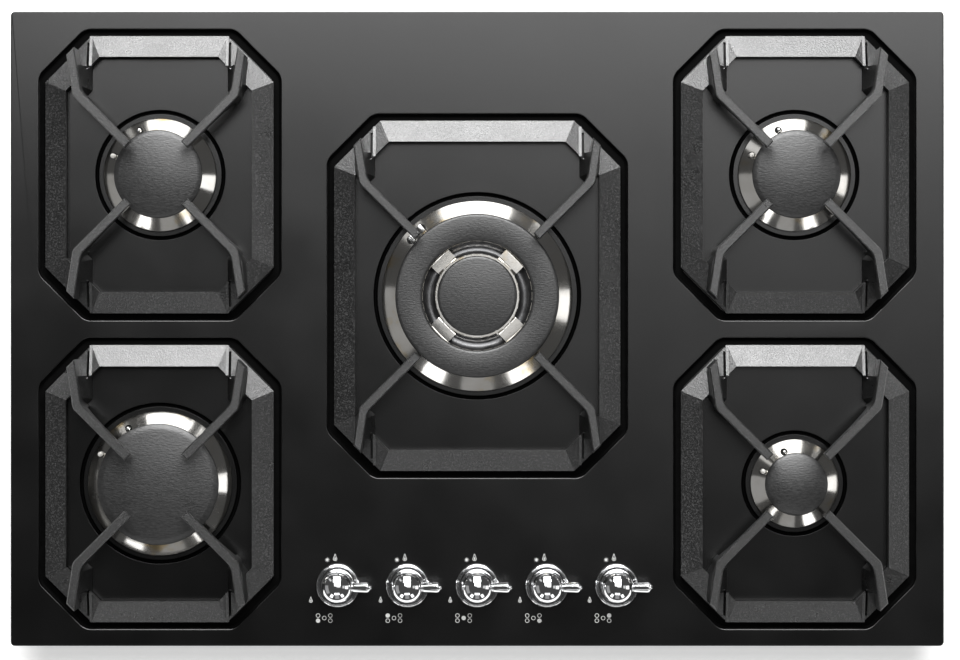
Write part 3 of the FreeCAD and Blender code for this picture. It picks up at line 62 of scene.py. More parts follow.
# Heights and sizes are millimetres over the worktop's surface, as the maker's drawing gives them.
PLATE_X, PLATE_Y, PLATE_TOP, PLATE_UNDER, SHEET = 375.0, 255.0, 5.0, 1.0, 1.0
CROWN_TOP, CROWN_SHOULDER, CROWN_FLOOR, CROWN_SEAT = 19.5, 13.2, 6.5, 3.0
CAP_EDGE, CAP_RISE = 2.0, 4.2
KNOB_Y, KNOB_XS = -206.2, (-112.0, -56.0, 0.0, 56.0, 112.0)
SIDE_BASIN, WOK_BASIN, BASIN_CUT = (97.2, 116.9), (120.5, 146.2), 37.0
BASIN_ROUND, PLATE_ROUND = 11, 3.5
PORT_SETBACK, PORT_WALL, PORT_DEPTH, PORT_HALF = 1.8, 3, 2.6, 0.85
INNER_PORTS, INNER_RADIUS, INNER_PORT_HALF = 32, 30.7, 0.7
OUTER_RADIUS = 43.6
ROD_HOLE, TAB_HOLE = 2.9, 3.8
LEVER_HEIGHT, LEVER_START, LEVER_ROOT = 25.5, 8.5, 3.7
FINGER_LEAN, ROOT_REACH = 8.7, 4.2
# A corner this near to a turned piece's axis lies on it (metres).
ON_AXIS = 0.00006

# Each burner: its place, crown and cap radii, flame ports, basin, and where its two rods stand.
BURNERS = {
    "left_front": (-255.0, -124.3, 57.9, 48.5, 32, SIDE_BASIN, ((153, 52.6), (119, 50.7))),
    "left_rear": (-255.0, 123.6, 45.4, 35.3, 24, SIDE_BASIN, ((158, 39.6), (114, 38.5))),
    "centre": (0.0, 26.4, 76.5, 65.5, 48, WOK_BASIN, ((130, 70.2), (139.5, 69.4))),
    "right_front": (255.0, -124.3, 35.5, 25.1, 16, SIDE_BASIN, ((159, 27.9), (109.5, 27.1))),
    "right_rear": (255.0, 123.6, 45.4, 35.3, 24, SIDE_BASIN, ((156, 38.4), (111, 38.1))),
}


def metres(*values):
    return tuple(value / 1000 for value in values)


# ------------------------------------------------------------------ shaping by hand

def only(piece):
    """Selects one piece alone."""
    bpy.ops.object.select_all(action="DESELECT")
    piece.select_set(True)
    bpy.context.view_layer.objects.active = piece


def pick(piece, mode, test):
    """In edit mode, picks the corners, edges or faces that pass a test."""
    bpy.ops.mesh.select_mode(type=mode)
    bpy.ops.mesh.select_all(action="DESELECT")
    shape = bmesh.from_edit_mesh(piece.data)
    for item in {"VERT": shape.verts, "EDGE": shape.edges, "FACE": shape.faces}[mode]:
        if test(item):
            item.select_set(True)
    shape.select_flush_mode()
    bmesh.update_edit_mesh(piece.data)


def span(edge):
    """The middle of an edge, in millimetres."""
    return (edge.verts[0].co + edge.verts[1].co) * 500


def upright(edge):
    run = edge.verts[1].co - edge.verts[0].co
    return abs(run.z) > 0.9 * run.length


def level_at(edge, height):
    return all(abs(corner.co.z * 1000 - height) < 0.02 for corner in edge.verts)


def settle(piece, name, angle=30):
    """Back from edit mode: the place goes into the mesh, the faces point out, the edges are softened."""
    if bpy.context.mode != "OBJECT":
        bpy.ops.object.mode_set(mode="OBJECT")
    only(piece)
    piece.name = name
    bpy.ops.object.transform_apply(location=True, rotation=True, scale=True)
    bpy.ops.object.mode_set(mode="EDIT")
    bpy.ops.mesh.select_all(action="SELECT")
    bpy.ops.mesh.remove_doubles(threshold=0.000004)
    bpy.ops.mesh.normals_make_consistent(inside=False)
    bpy.ops.object.mode_set(mode="OBJECT")
    bpy.ops.object.shade_smooth_by_angle(angle=math.radians(angle))
    return piece


def weigh_normals(piece):
    """Keeps broad flat faces flat in the light beside their rounded edges."""
    only(piece)
    piece.modifiers.new("flats", "WEIGHTED_NORMAL").keep_sharp = True
    bpy.ops.object.modifier_apply(modifier="flats")
    return piece


def carve(piece, tool, operation="DIFFERENCE"):
    only(piece)
    change = piece.modifiers.new("carve", "BOOLEAN")
    change.operation = operation
    change.solver = "EXACT"
    change.object = tool
    bpy.ops.object.modifier_apply(modifier="carve")
    bpy.data.objects.remove(tool, do_unlink=True)
    return piece


def joined(pieces, name):
    """One piece of several."""
    only(pieces[0])
    for piece in pieces[1:]:
        piece.select_set(True)
    bpy.ops.object.join()
    pieces[0].name = name
    return pieces[0]


def copied(piece, name, x, y):
    """A copy with its own mesh, set down at another place."""
    twin = piece.copy()
    twin.data = piece.data.copy()
    bpy.context.collection.objects.link(twin)
    twin.name = name
    only(twin)
    twin.location = metres(x, y, 0)
    bpy.ops.object.transform_apply(location=True, rotation=True, scale=True)
    return twin


def block(x, y, low, high, half_x, half_y):
    """A block, left in edit mode."""
    bpy.ops.object.select_all(action="DESELECT")
    middle = metres(x, y, (low + high) / 2)
    bpy.ops.mesh.primitive_cube_add(size=0.001, location=middle, enter_editmode=True)
    bpy.ops.transform.resize(value=(half_x * 2, half_y * 2, high - low), center_override=middle)
    return bpy.context.active_object


def turned(rings, steps, x=0.0, y=0.0, closed=True):
    """A turned piece, left in edit mode: a circle, drawn up and out through (radius, height) rings."""
    radius, height = rings[0]
    bpy.ops.object.select_all(action="DESELECT")
    bpy.ops.mesh.primitive_circle_add(
        vertices=steps, radius=radius / 1000, location=metres(x, y, height), enter_editmode=True)
    bpy.ops.mesh.select_all(action="SELECT")
    follow = rings[1:] + (rings[:1] if closed else [])
    for next_radius, next_height in follow:
        bpy.ops.mesh.extrude_edges_move(TRANSFORM_OT_translate={"value": metres(0, 0, next_height - height)})
        ratio = next_radius / radius
        bpy.ops.transform.resize(value=(ratio, ratio, 1), center_override=metres(x, y, next_height))
        radius, height = next_radius, next_height
    bpy.ops.mesh.select_all(action="SELECT")
    bpy.ops.mesh.remove_doubles(threshold=0.000002)
    piece = bpy.context.active_object
    # A ring drawn in to the axis closes to one corner, so no pinhole runs down the middle.
    pick(piece, "VERT", lambda corner: corner.co.xy.length < ON_AXIS)
    bpy.ops.mesh.remove_doubles(threshold=2 * ON_AXIS)
    bpy.ops.mesh.select_all(action="SELECT")
    bpy.ops.mesh.delete_loose()
    return piece


def swing(x, y, turn):
    """In edit mode, turns the whole piece about an upright axis, by so many degrees."""
    bpy.ops.mesh.select_all(action="SELECT")
    bpy.ops.transform.rotate(
        value=-math.radians(turn), orient_axis="Z", center_override=metres(x, y, 0))


def bow(start, finish, bulge, count):
    """Rings along an arc from start to finish that bulges by so many millimetres."""
    a, b = Vector(start), Vector(finish)
    chord = b - a
    side = Vector((-chord.y, chord.x)).normalized()
    rings = []
    for number in range(1, count):
        t = number / count
        rings.append(tuple(a + chord * t + side * bulge * 4 * t * (1 - t)))
    return rings


# ------------------------------------------------------------------ finishes

def paint(code):
    """An sRGB hex code as linear colour."""
    channels = [int(code[place:place + 2], 16) / 255 for place in (1, 3, 5)]
    return tuple(c / 12.92 if c <= 0.04045 else ((c + 0.055) / 1.055) ** 2.4 for c in channels) + (1.0,)


def node(tree, kind, settings=None, links=None):
    """Adds a node: settings by property or input name, links by input name to another node's output."""
    added = tree.nodes.new(kind)
    for name, value in (settings or {}).items():
        if name in added.inputs:
            added.inputs[name].default_value = value
        else:
            setattr(added, name, value)
    for name, (source, output) in (links or {}).items():
        tree.links.new(source.outputs[output], added.inputs[name])
    return added


def ramp(tree, source, output, stops):
    """A colour ramp over a pattern: stops are (place, hex code)."""
    added = node(tree, "ShaderNodeValToRGB", None, {"Fac": (source, output)})
    band = added.color_ramp
    while len(band.elements) < len(stops):
        band.elements.new(0.5)
    for element, (place, code) in zip(band.elements, stops):
        element.position = place
        element.color = paint(code)
    return added


def begin(name, settings):
    """A new finish with its shader and the piece's own coordinates."""
    finish = bpy.data.materials.new(name)
    finish.use_nodes = True
    tree = finish.node_tree
    shader = tree.nodes["Principled BSDF"]
    for socket, value in settings.items():
        shader.inputs[socket].default_value = value
    place = node(tree, "ShaderNodeTexCoord")
    return finish, tree, shader, place


def grain(tree, place, size_mm, detail=2.0, roughness=0.5):
    """Noise whose lumps are about so many millimetres across."""
    settings = {"Scale": 1000 / size_mm, "Detail": detail, "Roughness": roughness}
    return node(tree, "ShaderNodeTexNoise", settings, {"Vector": (place, "Object")})


def emboss(tree, shader, source, output, height_mm, strength=1.0):
    bump = node(tree, "ShaderNodeBump", {"Strength": strength, "Distance": height_mm / 1000},
                {"Height": (source, output)})
    tree.links.new(bump.outputs["Normal"], shader.inputs["Normal"])
    return bump


def spread(tree, source, output, low, high):
    """A pattern's usual range, carried onto another range."""
    return node(tree, "ShaderNodeMapRange", {"From Min": 0.3, "From Max": 0.7, "To Min": low, "To Max": high},
                {"Value": (source, output)})


def plate_enamel():
    """Vitreous enamel fired on pressed steel: near black, satin, with a faint orange peel."""
    finish, tree, shader, place = begin("vitreous_enamel_on_steel", {"IOR": 1.52, "Specular IOR Level": 0.5})
    cloud = grain(tree, place, 60, 3)
    shade = ramp(tree, cloud, "Fac", [(0.3, "#020202"), (0.7, "#040404")])
    tree.links.new(shade.outputs["Color"], shader.inputs["Base Color"])
    gloss = spread(tree, cloud, "Fac", 0.2, 0.24)
    tree.links.new(gloss.outputs["Result"], shader.inputs["Roughness"])
    peel = grain(tree, place, 1.6, 1)
    emboss(tree, shader, peel, "Fac", 0.02, 0.5)
    return finish


def channel_painted_shade():
    """Painted shade: the plate's enamel in the pressed channels and grooves, made black and dull (specular
    level 0.03), with no orange peel, so they read dark.
    """
    finish, tree, shader, place = begin("channel_enamel_painted_shade", {"IOR": 1.5, "Specular IOR Level": 0.03})
    cloud = grain(tree, place, 6, 3)
    shade = ramp(tree, cloud, "Fac", [(0.3, "#020202"), (0.7, "#050505")])
    tree.links.new(shade.outputs["Color"], shader.inputs["Base Color"])
    gloss = spread(tree, cloud, "Fac", 0.55, 0.65)
    tree.links.new(gloss.outputs["Result"], shader.inputs["Roughness"])
    emboss(tree, shader, cloud, "Fac", 0.02, 0.3)
    return finish


def cast_enamel():
    """Matt enamel on cast iron: charcoal, with the casting's sandy grain and paler rubbed spots."""
    finish, tree, shader, place = begin("matt_enamel_on_cast_iron", {"IOR": 1.5, "Specular IOR Level": 0.9})
    sand = grain(tree, place, 1.4, 4, 0.7)
    broad = grain(tree, place, 22, 3)
    shade = ramp(tree, sand, "Fac", [(0.38, "#070707"), (0.52, "#121212"), (0.64, "#3c3c3c")])
    tree.links.new(shade.outputs["Color"], shader.inputs["Base Color"])
    gloss = spread(tree, broad, "Fac", 0.27, 0.33)
    tree.links.new(gloss.outputs["Result"], shader.inputs["Roughness"])
    emboss(tree, shader, sand, "Fac", 0.3, 1.0)
    return finish


def cap_enamel():
    """Satin black enamel on a burner cap: a leathery peel of 2 mm wrinkles that run from side to side."""
    finish, tree, shader, place = begin("satin_cap_enamel", {"IOR": 1.5, "Specular IOR Level": 0.62})
    sand = grain(tree, place, 1.25, 3, 0.6)
    stretch = node(tree, "ShaderNodeMapping", {"Scale": (0.4, 1.1, 1.0)}, {"Vector": (place, "Object")})
    tree.links.new(stretch.outputs["Vector"], sand.inputs["Vector"])
    shade = ramp(tree, sand, "Fac", [(0.35, "#181818"), (0.65, "#262626")])
    tree.links.new(shade.outputs["Color"], shader.inputs["Base Color"])
    gloss = spread(tree, sand, "Fac", 0.33, 0.42)
    tree.links.new(gloss.outputs["Result"], shader.inputs["Roughness"])
    emboss(tree, shader, sand, "Fac", 0.22, 0.9)
    return finish


def metal(name, base, low, high, size_mm, height_mm, scratch=None):
    """A bare metal: its colour, its gloss between two values, and a grain of so many millimetres."""
    finish, tree, shader, place = begin(name, {"Metallic": 1.0})
    speck = grain(tree, place, size_mm, 3)
    if scratch:
        stretch = node(tree, "ShaderNodeMapping", {"Scale": scratch}, {"Vector": (place, "Object")})
        tree.links.new(stretch.outputs["Vector"], speck.inputs["Vector"])
    shade = ramp(tree, speck, "Fac", [(0.3, base[0]), (0.7, base[1])])
    tree.links.new(shade.outputs["Color"], shader.inputs["Base Color"])
    gloss = spread(tree, speck, "Fac", low, high)
    tree.links.new(gloss.outputs["Result"], shader.inputs["Roughness"])
    emboss(tree, shader, speck, "Fac", height_mm, 0.4)
    return finish


def crown_metal():
    """Turned and polished burner casting: bright, with faint turning lines and a straw tint from heat."""
    finish, tree, shader, place = begin("polished_turned_alloy", {"Metallic": 1.0})
    heat = grain(tree, place, 30, 3, 0.6)
    shade = ramp(tree, heat, "Fac", [(0.38, "#d9d7d3"), (0.6, "#cfccc6"), (0.72, "#cdb992")])
    tree.links.new(shade.outputs["Color"], shader.inputs["Base Color"])
    gloss = spread(tree, heat, "Fac", 0.1, 0.17)
    tree.links.new(gloss.outputs["Result"], shader.inputs["Roughness"])
    fine = grain(tree, place, 2.2, 2)
    emboss(tree, shader, fine, "Fac", 0.02, 0.35)
    return finish


def cast_skin():
    """The unpolished skin of the burner casting in its air channel: smooth, dark grey, dull."""
    finish, tree, shader, place = begin("dark_casting_skin", {"Metallic": 1.0})
    flow = grain(tree, place, 9, 3)
    shade = ramp(tree, flow, "Fac", [(0.3, "#585859"), (0.7, "#646465")])
    tree.links.new(shade.outputs["Color"], shader.inputs["Base Color"])
    gloss = spread(tree, flow, "Fac", 0.3, 0.4)
    tree.links.new(gloss.outputs["Result"], shader.inputs["Roughness"])
    fine = grain(tree, place, 1.2, 2)
    emboss(tree, shader, fine, "Fac", 0.02, 0.3)
    return finish


def plain(name, low, high, gloss, size_mm, height_mm, **sockets):
    """A moulded or glazed finish: two near shades in a soft mottle, over a fine relief."""
    settings = {key.replace("_", " "): value for key, value in sockets.items()}
    finish, tree, shader, place = begin(name, settings)
    mottle = grain(tree, place, size_mm, 3)
    shade = ramp(tree, mottle, "Fac", [(0.3, low), (0.7, high)])
    tree.links.new(shade.outputs["Color"], shader.inputs["Base Color"])
    sheen = spread(tree, mottle, "Fac", gloss[0], gloss[1])
    tree.links.new(sheen.outputs["Result"], shader.inputs["Roughness"])
    emboss(tree, shader, mottle, "Fac", height_mm, 0.5)
    return finish


def galvanised():
    """Zinc-plated sheet: grey crystals some 8 mm across that catch the light differently."""
    finish, tree, shader, place = begin("zinc_plated_sheet", {"Metallic": 1.0})
    crystal = node(tree, "ShaderNodeTexVoronoi", {"Scale": 120.0}, {"Vector": (place, "Object")})
    shade = ramp(tree, crystal, "Color", [(0.2, "#9a9c9f"), (0.8, "#b6b8ba")])
    tree.links.new(shade.outputs["Color"], shader.inputs["Base Color"])
    gloss = spread(tree, crystal, "Color", 0.34, 0.46)
    tree.links.new(gloss.outputs["Result"], shader.inputs["Roughness"])
    fine = grain(tree, place, 3, 2)
    emboss(tree, shader, fine, "Fac", 0.02, 0.3)
    return finish


finishes = {
    "black_enamel_plate": plate_enamel(),
    "enamelled_cast_iron": cast_enamel(),
    "enamelled_cap": cap_enamel(),
    "polished_crown": crown_metal(),
    # Chromium plate over polished zinc: a mirror, with the faintest haze from handling.
    "chrome": metal("polished_chromium_plate", ("#e2e3e4", "#eeeeef"), 0.05, 0.09, 14, 0.004),
    "zinc_steel": galvanised(),
    # Zinc-plated screws and nuts: greyer than the sheet and a little rough.
    "zinc_fixings": metal("zinc_plated_fixings", ("#a7a69f", "#c0bfb8"), 0.28, 0.38, 2, 0.02),
    # Turned brass of taps and jets: yellow, with tool marks across it.
    "brass_fittings": metal("turned_brass", ("#b8924b", "#cda75c"), 0.22, 0.34, 3, 0.02, (1, 1, 8)),
    # Die-cast aluminium as it leaves the mould: pale grey and dull.
    "cast_aluminium_cup": metal("die_cast_aluminium", ("#a3a3a2", "#bbbbb9"), 0.42, 0.55, 2.5, 0.06),
    "steel_rod": metal("turned_steel_rod", ("#b9b9b8", "#cfcfce"), 0.2, 0.3, 2, 0.01, (1, 1, 6)),
    "steel_pipe": metal("zinc_plated_pipe", ("#8f9092", "#a9aaac"), 0.3, 0.42, 5, 0.02),
    "aluminium_pipe": metal("drawn_aluminium", ("#b4b5b6", "#c9cacb"), 0.26, 0.36, 4, 0.02),
    # Glazed alumina of the spark electrodes: warm white with a wet gloss.
    "white_ceramic": plain("glazed_alumina", "#e4e1da", "#efede8", (0.14, 0.2), 3, 0.01, Coat_Weight=0.6),
    # Moulded thermoplastic housings: black with a fine spark-eroded texture.
    "black_plastic": plain("moulded_polyamide", "#171718", "#1f1f21", (0.5, 0.6), 1.2, 0.05),
    "nylon_collar": plain("moulded_nylon", "#c9c6bd", "#d6d3ca", (0.45, 0.55), 2, 0.02),
    # Moulded silicone pads: soft black, no gloss.
    "rubber_feet": plain("moulded_silicone", "#141414", "#1b1b1b", (0.62, 0.72), 1.5, 0.03),
    # Closed-cell foam strip: dull, with open pores on its cut sides.
    "foam_seal": plain("closed_cell_foam", "#161616", "#222222", (0.8, 0.9), 0.9, 0.12),
    # Screen-printed ceramic ink, fired: pale grey and matt on the enamel.
    "printed_marks": plain("fired_screen_print", "#b4b4b2", "#c2c2c0", (0.45, 0.55), 1.0, 0.005),
}


def dress(piece, slot, body, replaced=()):
    """Gives a new piece its finish and the body that it moves with."""
    piece.data.materials.clear()
    piece.data.materials.append(finishes[slot])
    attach(piece, body)
    if replaced:
        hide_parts(*replaced)
    return piece


# ------------------------------------------------------------------ the plate

def basin_prism(x, y, half, low, high, grow=0.0):
    """An eight-sided block with rounded corners, as deep as a basin."""
    tool = block(x, y, low, high, half[0] + grow, half[1] + grow)
    pick(tool, "EDGE", upright)
    bpy.ops.mesh.bevel(offset=(BASIN_CUT + grow * 0.586) / 1000, segments=1, affect="EDGES")
    pick(tool, "EDGE", upright)
    bpy.ops.mesh.bevel(offset=(BASIN_ROUND + grow) * 0.4142 / 1000, segments=5, affect="EDGES")
    return tool


def frustum(x, y, half, low, high, inset_low, inset_high):
    """A basin-shaped plug whose sides lean: its insets from the basin's wall, bottom and top."""
    tool = basin_prism(x, y, half, low, high, -inset_low)
    pick(tool, "VERT", lambda corner: corner.co.z > 0)
    ratios = [(size - inset_high) / (size - inset_low) for size in half]
    bpy.ops.transform.resize(value=(ratios[0], ratios[1], 1), center_override=metres(x, y, 0))
    return leave_tool(tool)


def band(x, y, half, low, high, outer, inner):
    """A band along a basin's wall, between two leaning faces with insets at the bottom and the top."""
    past = 0.01
    step = (inner[1] - inner[0]) / (high - low) * past
    plug = frustum(x, y, half, low - past, high + past, inner[0] - step, inner[1] + step)
    return carve(frustum(x, y, half, low, high, *outer), plug)


def leave_tool(tool):
    bpy.ops.object.mode_set(mode="OBJECT")
    only(tool)
    bpy.ops.object.transform_apply(location=True, rotation=True, scale=True)
    return tool


def bead(crown):
    """Inner and outer radius of the groove round a burner."""
    return crown + 3.9, crown + 6.9


def in_groove(face):
    """Whether a face is the upper side of a groove or channel pressed below the basin's floor: these faces
    get the painted shade.
    """
    return face.calc_center_median().z < 0.0009 and face.normal.z > 0.05


def on_bead(edge):
    """Whether an edge is a lip of one of the grooves."""
    spot = span(edge)
    for x, y, crown, cap, ports, half, rods in BURNERS.values():
        radius = math.hypot(spot.x - x, spot.y - y)
        if level_at(edge, PLATE_UNDER) and min(abs(radius - lip) for lip in bead(crown)) < 0.1:
            return True
    return False


def make_plate():
    plate = block(0, 0, PLATE_UNDER, PLATE_TOP, PLATE_X, PLATE_Y)
    pick(plate, "EDGE", upright)
    bpy.ops.mesh.bevel(offset=PLATE_ROUND / 1000, segments=5, affect="EDGES")
    leave_tool(plate)
    carve(plate, leave_tool(block(0, 0, PLATE_UNDER - 1, PLATE_TOP - SHEET, PLATE_X - 1, PLATE_Y - 1)))
    for x, y, crown, cap, ports, half, rods in BURNERS.values():
        carve(plate, leave_tool(basin_prism(x, y, half, 0, PLATE_TOP - SHEET / 2, SHEET)), "UNION")
    for x, y, crown, cap, ports, half, rods in BURNERS.values():
        hollow = basin_prism(x, y, half, PLATE_UNDER, PLATE_TOP + 3)
        carve(plate, leave_tool(hollow))
        # The shallow channel along the basin's wall, which runs dark round every pan support: partly from its
        # leaning sides, partly from the painted shade of its dull black finish.
        # It stays above the tray's wall, which touches the sheet's underside.
        carve(plate, band(x, y, half, 0.1, 1.02, (1.9, 0.02), (1.8, 6.5)))
        # The bead pressed round the burner: a narrow groove with steep sides, dark inside partly from its
        # shape and partly from the painted shade of its dull black finish.
        low, high = bead(crown)
        backing = [(low - 0.8, 0.95), (high + 0.8, 0.95), (high + 0.8, -1.2), (high, -2.0), (low, -2.0),
                   (low - 0.8, -1.2)]
        carve(plate, settle(turned(backing, 128, x, y), "bead"), "UNION")
        groove = [(low, 2), (low, 0.98), (low + 1.3, -1.4), (high - 1.3, -1.4), (high, 0.98), (high, 2)]
        carve(plate, settle(turned(groove, 128, x, y), "groove"))
        well = turned([(0.02, -1), (crown - 17.6, -1), (crown - 17.6, 2), (0.02, 2)], 64, x, y)
        carve(plate, settle(well, "well"))
    for x in KNOB_XS:
        hole = turned([(0.02, 3), (7.5, 3), (7.5, 7), (0.02, 7)], 32, x, KNOB_Y)
        carve(plate, settle(hole, "hole"))
    only(plate)
    bpy.ops.object.mode_set(mode="EDIT")

    def basin_rim(edge):
        spot = span(edge)
        if not level_at(edge, PLATE_TOP) or edge.is_boundary or len(edge.link_faces) != 2:
            return False
        walls = [face for face in edge.link_faces if abs(face.normal.z) < 0.5]
        inside = abs(spot.x) < PLATE_X - 2 and abs(spot.y) < PLATE_Y - 2
        near_knob = abs(spot.y - KNOB_Y) < 10 and abs(spot.x) < 130
        return len(walls) == 1 and inside and not near_knob

    def outer_rim(edge):
        spot = span(edge)
        outside = abs(abs(spot.x) - PLATE_X) < 3.6 or abs(abs(spot.y) - PLATE_Y) < 3.6
        walled = any(abs(face.normal.z) < 0.5 for face in edge.link_faces)
        return level_at(edge, PLATE_TOP) and outside and walled

    pick(plate, "EDGE", basin_rim)
    bpy.ops.mesh.bevel(offset=0.0009, segments=3, affect="EDGES")
    pick(plate, "EDGE", on_bead)
    bpy.ops.mesh.bevel(offset=0.0004, segments=2, affect="EDGES")
    pick(plate, "EDGE", outer_rim)
    bpy.ops.mesh.bevel(offset=0.0012, segments=3, affect="EDGES")
    weigh_normals(settle(plate, "enamelled_plate"))
    dress(plate, "black_enamel_plate", "hob", ["top_plate"])
    # The faces down in the channels and grooves take the dull black finish: painted shade.
    wear_inside(plate, channel_painted_shade(), in_groove)


# ------------------------------------------------------------------ the burners

def crown_rings(crown, cap):
    """The casting's section, from the mixing tube's foot out over the cone to the gas chamber."""
    wall = cap - PORT_SETBACK
    inside = wall - PORT_WALL
    spigot = crown - 18 - 2 - 0.4
    cone = bow((crown, CROWN_SEAT + 2), (wall, CROWN_SHOULDER), 0.15, 4)
    foot = [(8.0, -7.0), (9.6, -7.0), (9.6, 4.6), (spigot - 1.8, 4.6), (spigot - 1.8, 0.0), (spigot, 0.0)]
    edge = [(spigot, CROWN_SEAT), (crown - 0.5, CROWN_SEAT), (crown, CROWN_SEAT + 0.5),
            (crown, CROWN_SEAT + 1.6), (crown - 0.4, CROWN_SEAT + 2)]
    ports = [(wall, CROWN_SHOULDER), (wall, 16.9), (wall, CROWN_TOP), (inside, CROWN_TOP), (inside, 16.9)]
    return foot + edge + cone + ports + [(inside, CROWN_FLOOR), (8.0, CROWN_FLOOR)]


def wear_inside(piece, finish, test):
    """Gives the faces that pass a test a second finish."""
    piece.data.materials.append(finish)
    only(piece)
    bpy.ops.object.mode_set(mode="EDIT")
    pick(piece, "FACE", test)
    piece.active_material_index = 1
    bpy.ops.object.material_slot_assign()
    bpy.ops.object.mode_set(mode="OBJECT")


def in_channel(face):
    """Whether a face lines the wide burner's air channel, between its bridges."""
    x, y = BURNERS["centre"][:2]
    spot = face.calc_center_median() * 1000 - Vector((x, y, 0))
    turn = math.radians(math.degrees(math.atan2(spot.y, spot.x)) % 90 - 45)
    radius = math.hypot(spot.x, spot.y)
    return 33.75 < radius < 43.9 and spot.z < 17.1 and abs(radius * math.sin(turn)) > 9.5


def rod_place(x, y, angle, radius):
    """Where a rod stands, from its burner's middle."""
    turn = math.radians(angle)
    return x + radius * math.cos(turn), y + radius * math.sin(turn)


def make_crown(name):
    x, y, crown, cap, ports, half, rods = BURNERS[name]
    steps = ports * 5 if ports < 40 else ports * 4
    casting = settle(turned(crown_rings(crown, cap), steps, x, y), "burner_casting_" + name)
    tools = []
    outer = cap - PORT_SETBACK
    if name == "centre":
        for low in (OUTER_RADIUS, INNER_RADIUS):
            high = low + PORT_WALL
            wall = [(low, 6), (high, 6), (high, 19.0), (high - 0.5, CROWN_TOP), (low + 0.5, CROWN_TOP),
                    (low, 19.0)]
            carve(casting, settle(turned(wall, 160, x, y), "wall"), "UNION")
        # The air channel between the two flame rings, with a rounded bottom and a wall that leans out.
        channel = [(33.2, 5.5), (44.1, 5.5), (44.1, 17.2), (43.4, 16.6), (42.4, 14.8), (40.6, 13.4),
                   (38.4, 12.8), (36.3, 13.2), (34.9, 14.4), (34.1, 16.0), (33.2, 16.6)]
        carve(casting, settle(turned(channel, 160, x, y), "channel"), "UNION")
        for turn in (45, 135, 225, 315):
            bridge = block(x + 38.6, y, 6, 17.4, 6.4, 9.6)
            pick(bridge, "EDGE", lambda edge: level_at(edge, 5.7) and not abs(span(edge).x) < 1)
            bpy.ops.mesh.bevel(offset=0.0026, segments=4, affect="EDGES")
            swing(x, y, turn)
            carve(casting, leave_tool(bridge), "UNION")
        for number in range(INNER_PORTS):
            tools.append((INNER_RADIUS + PORT_WALL / 2, INNER_PORT_HALF, 360 / INNER_PORTS * number + 5.6))
    for number in range(ports):
        tools.append((outer - PORT_WALL / 2, PORT_HALF, (number + 0.5) * 360 / ports))
    cutters = []
    for radius, half_width, turn in tools:
        port = block(x + radius, y, CROWN_TOP - PORT_DEPTH, CROWN_TOP + 2, 3, half_width)
        swing(x, y, turn)
        cutters.append(leave_tool(port))
    clear = TAB_HOLE if name == "centre" else ROD_HOLE
    for angle, radius in rods:
        hole = turned([(0.02, 0), (clear, 0), (clear, 22), (0.02, 22)], 24, *rod_place(x, y, angle, radius))
        cutters.append(settle(hole, "rod_hole"))
    carve(casting, joined(cutters, "ports"))
    settle(casting, "burner_casting_" + name)
    weigh_normals(casting)
    dress(casting, "polished_crown", "crown_" + name, ["burner_crown_" + name])
    if name == "centre":
        wear_inside(casting, cast_skin(), in_channel)


def make_cap(name):
    x, y, crown, cap, ports, half, rods = BURNERS[name]
    seat, rim = CROWN_TOP, CROWN_TOP + CAP_EDGE
    spigot = cap - PORT_SETBACK - PORT_WALL - 0.4
    under = [(spigot - 1.8, seat), (spigot - 1.8, seat - 3), (spigot, seat - 3), (spigot, seat),
             (cap - 0.4, seat), (cap, seat + 0.4)]
    if name == "centre":
        rings = [(44.0, seat)] + under + [
            (cap, rim - 0.5), (cap - 0.35, rim + 0.1), (cap - 1.2, rim + 0.7), (cap - 2.4, rim + 1),
            (46.4, rim + 1), (45.2, rim + 0.7), (44.35, rim + 0.1), (44.0, rim - 0.5)]
    else:
        top = rim + CAP_RISE
        dome = bow((cap - 0.5, rim + 0.25), (0.05, top), -CAP_RISE * 0.24, 9)
        rings = [(0.05, top - 3)] + under + [(cap, rim - 0.6), (cap - 0.15, rim - 0.15)]
        rings += [(cap - 0.5, rim + 0.25)] + dome + [(0.05, top)]
    piece = settle(turned(rings, 96, x, y), "burner_lid_" + name, 40)
    return dress(piece, "enamelled_cap", "cap_" + name, ["burner_cap_" + name])


def make_inner_cap():
    x, y = BURNERS["centre"][:2]
    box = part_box("burner_cap_centre_inner")
    edge = (box[1][0] - box[0][0]) * 500
    top = box[1][2] * 1000
    rings = [(0.05, CROWN_TOP), (26.0, CROWN_TOP), (26.0, CROWN_TOP - 3), (27.8, CROWN_TOP - 3),
             (27.8, CROWN_TOP), (edge - 0.4, CROWN_TOP), (edge, CROWN_TOP + 0.4), (edge, top - 1.6),
             (edge - 0.35, top - 0.9), (edge - 1.2, top - 0.3), (edge - 2.4, top), (0.05, top)]
    piece = settle(turned(rings, 96, x, y), "burner_lid_centre_inner", 40)
    return dress(piece, "enamelled_cap", "cap_centre_inner", ["burner_cap_centre_inner"])


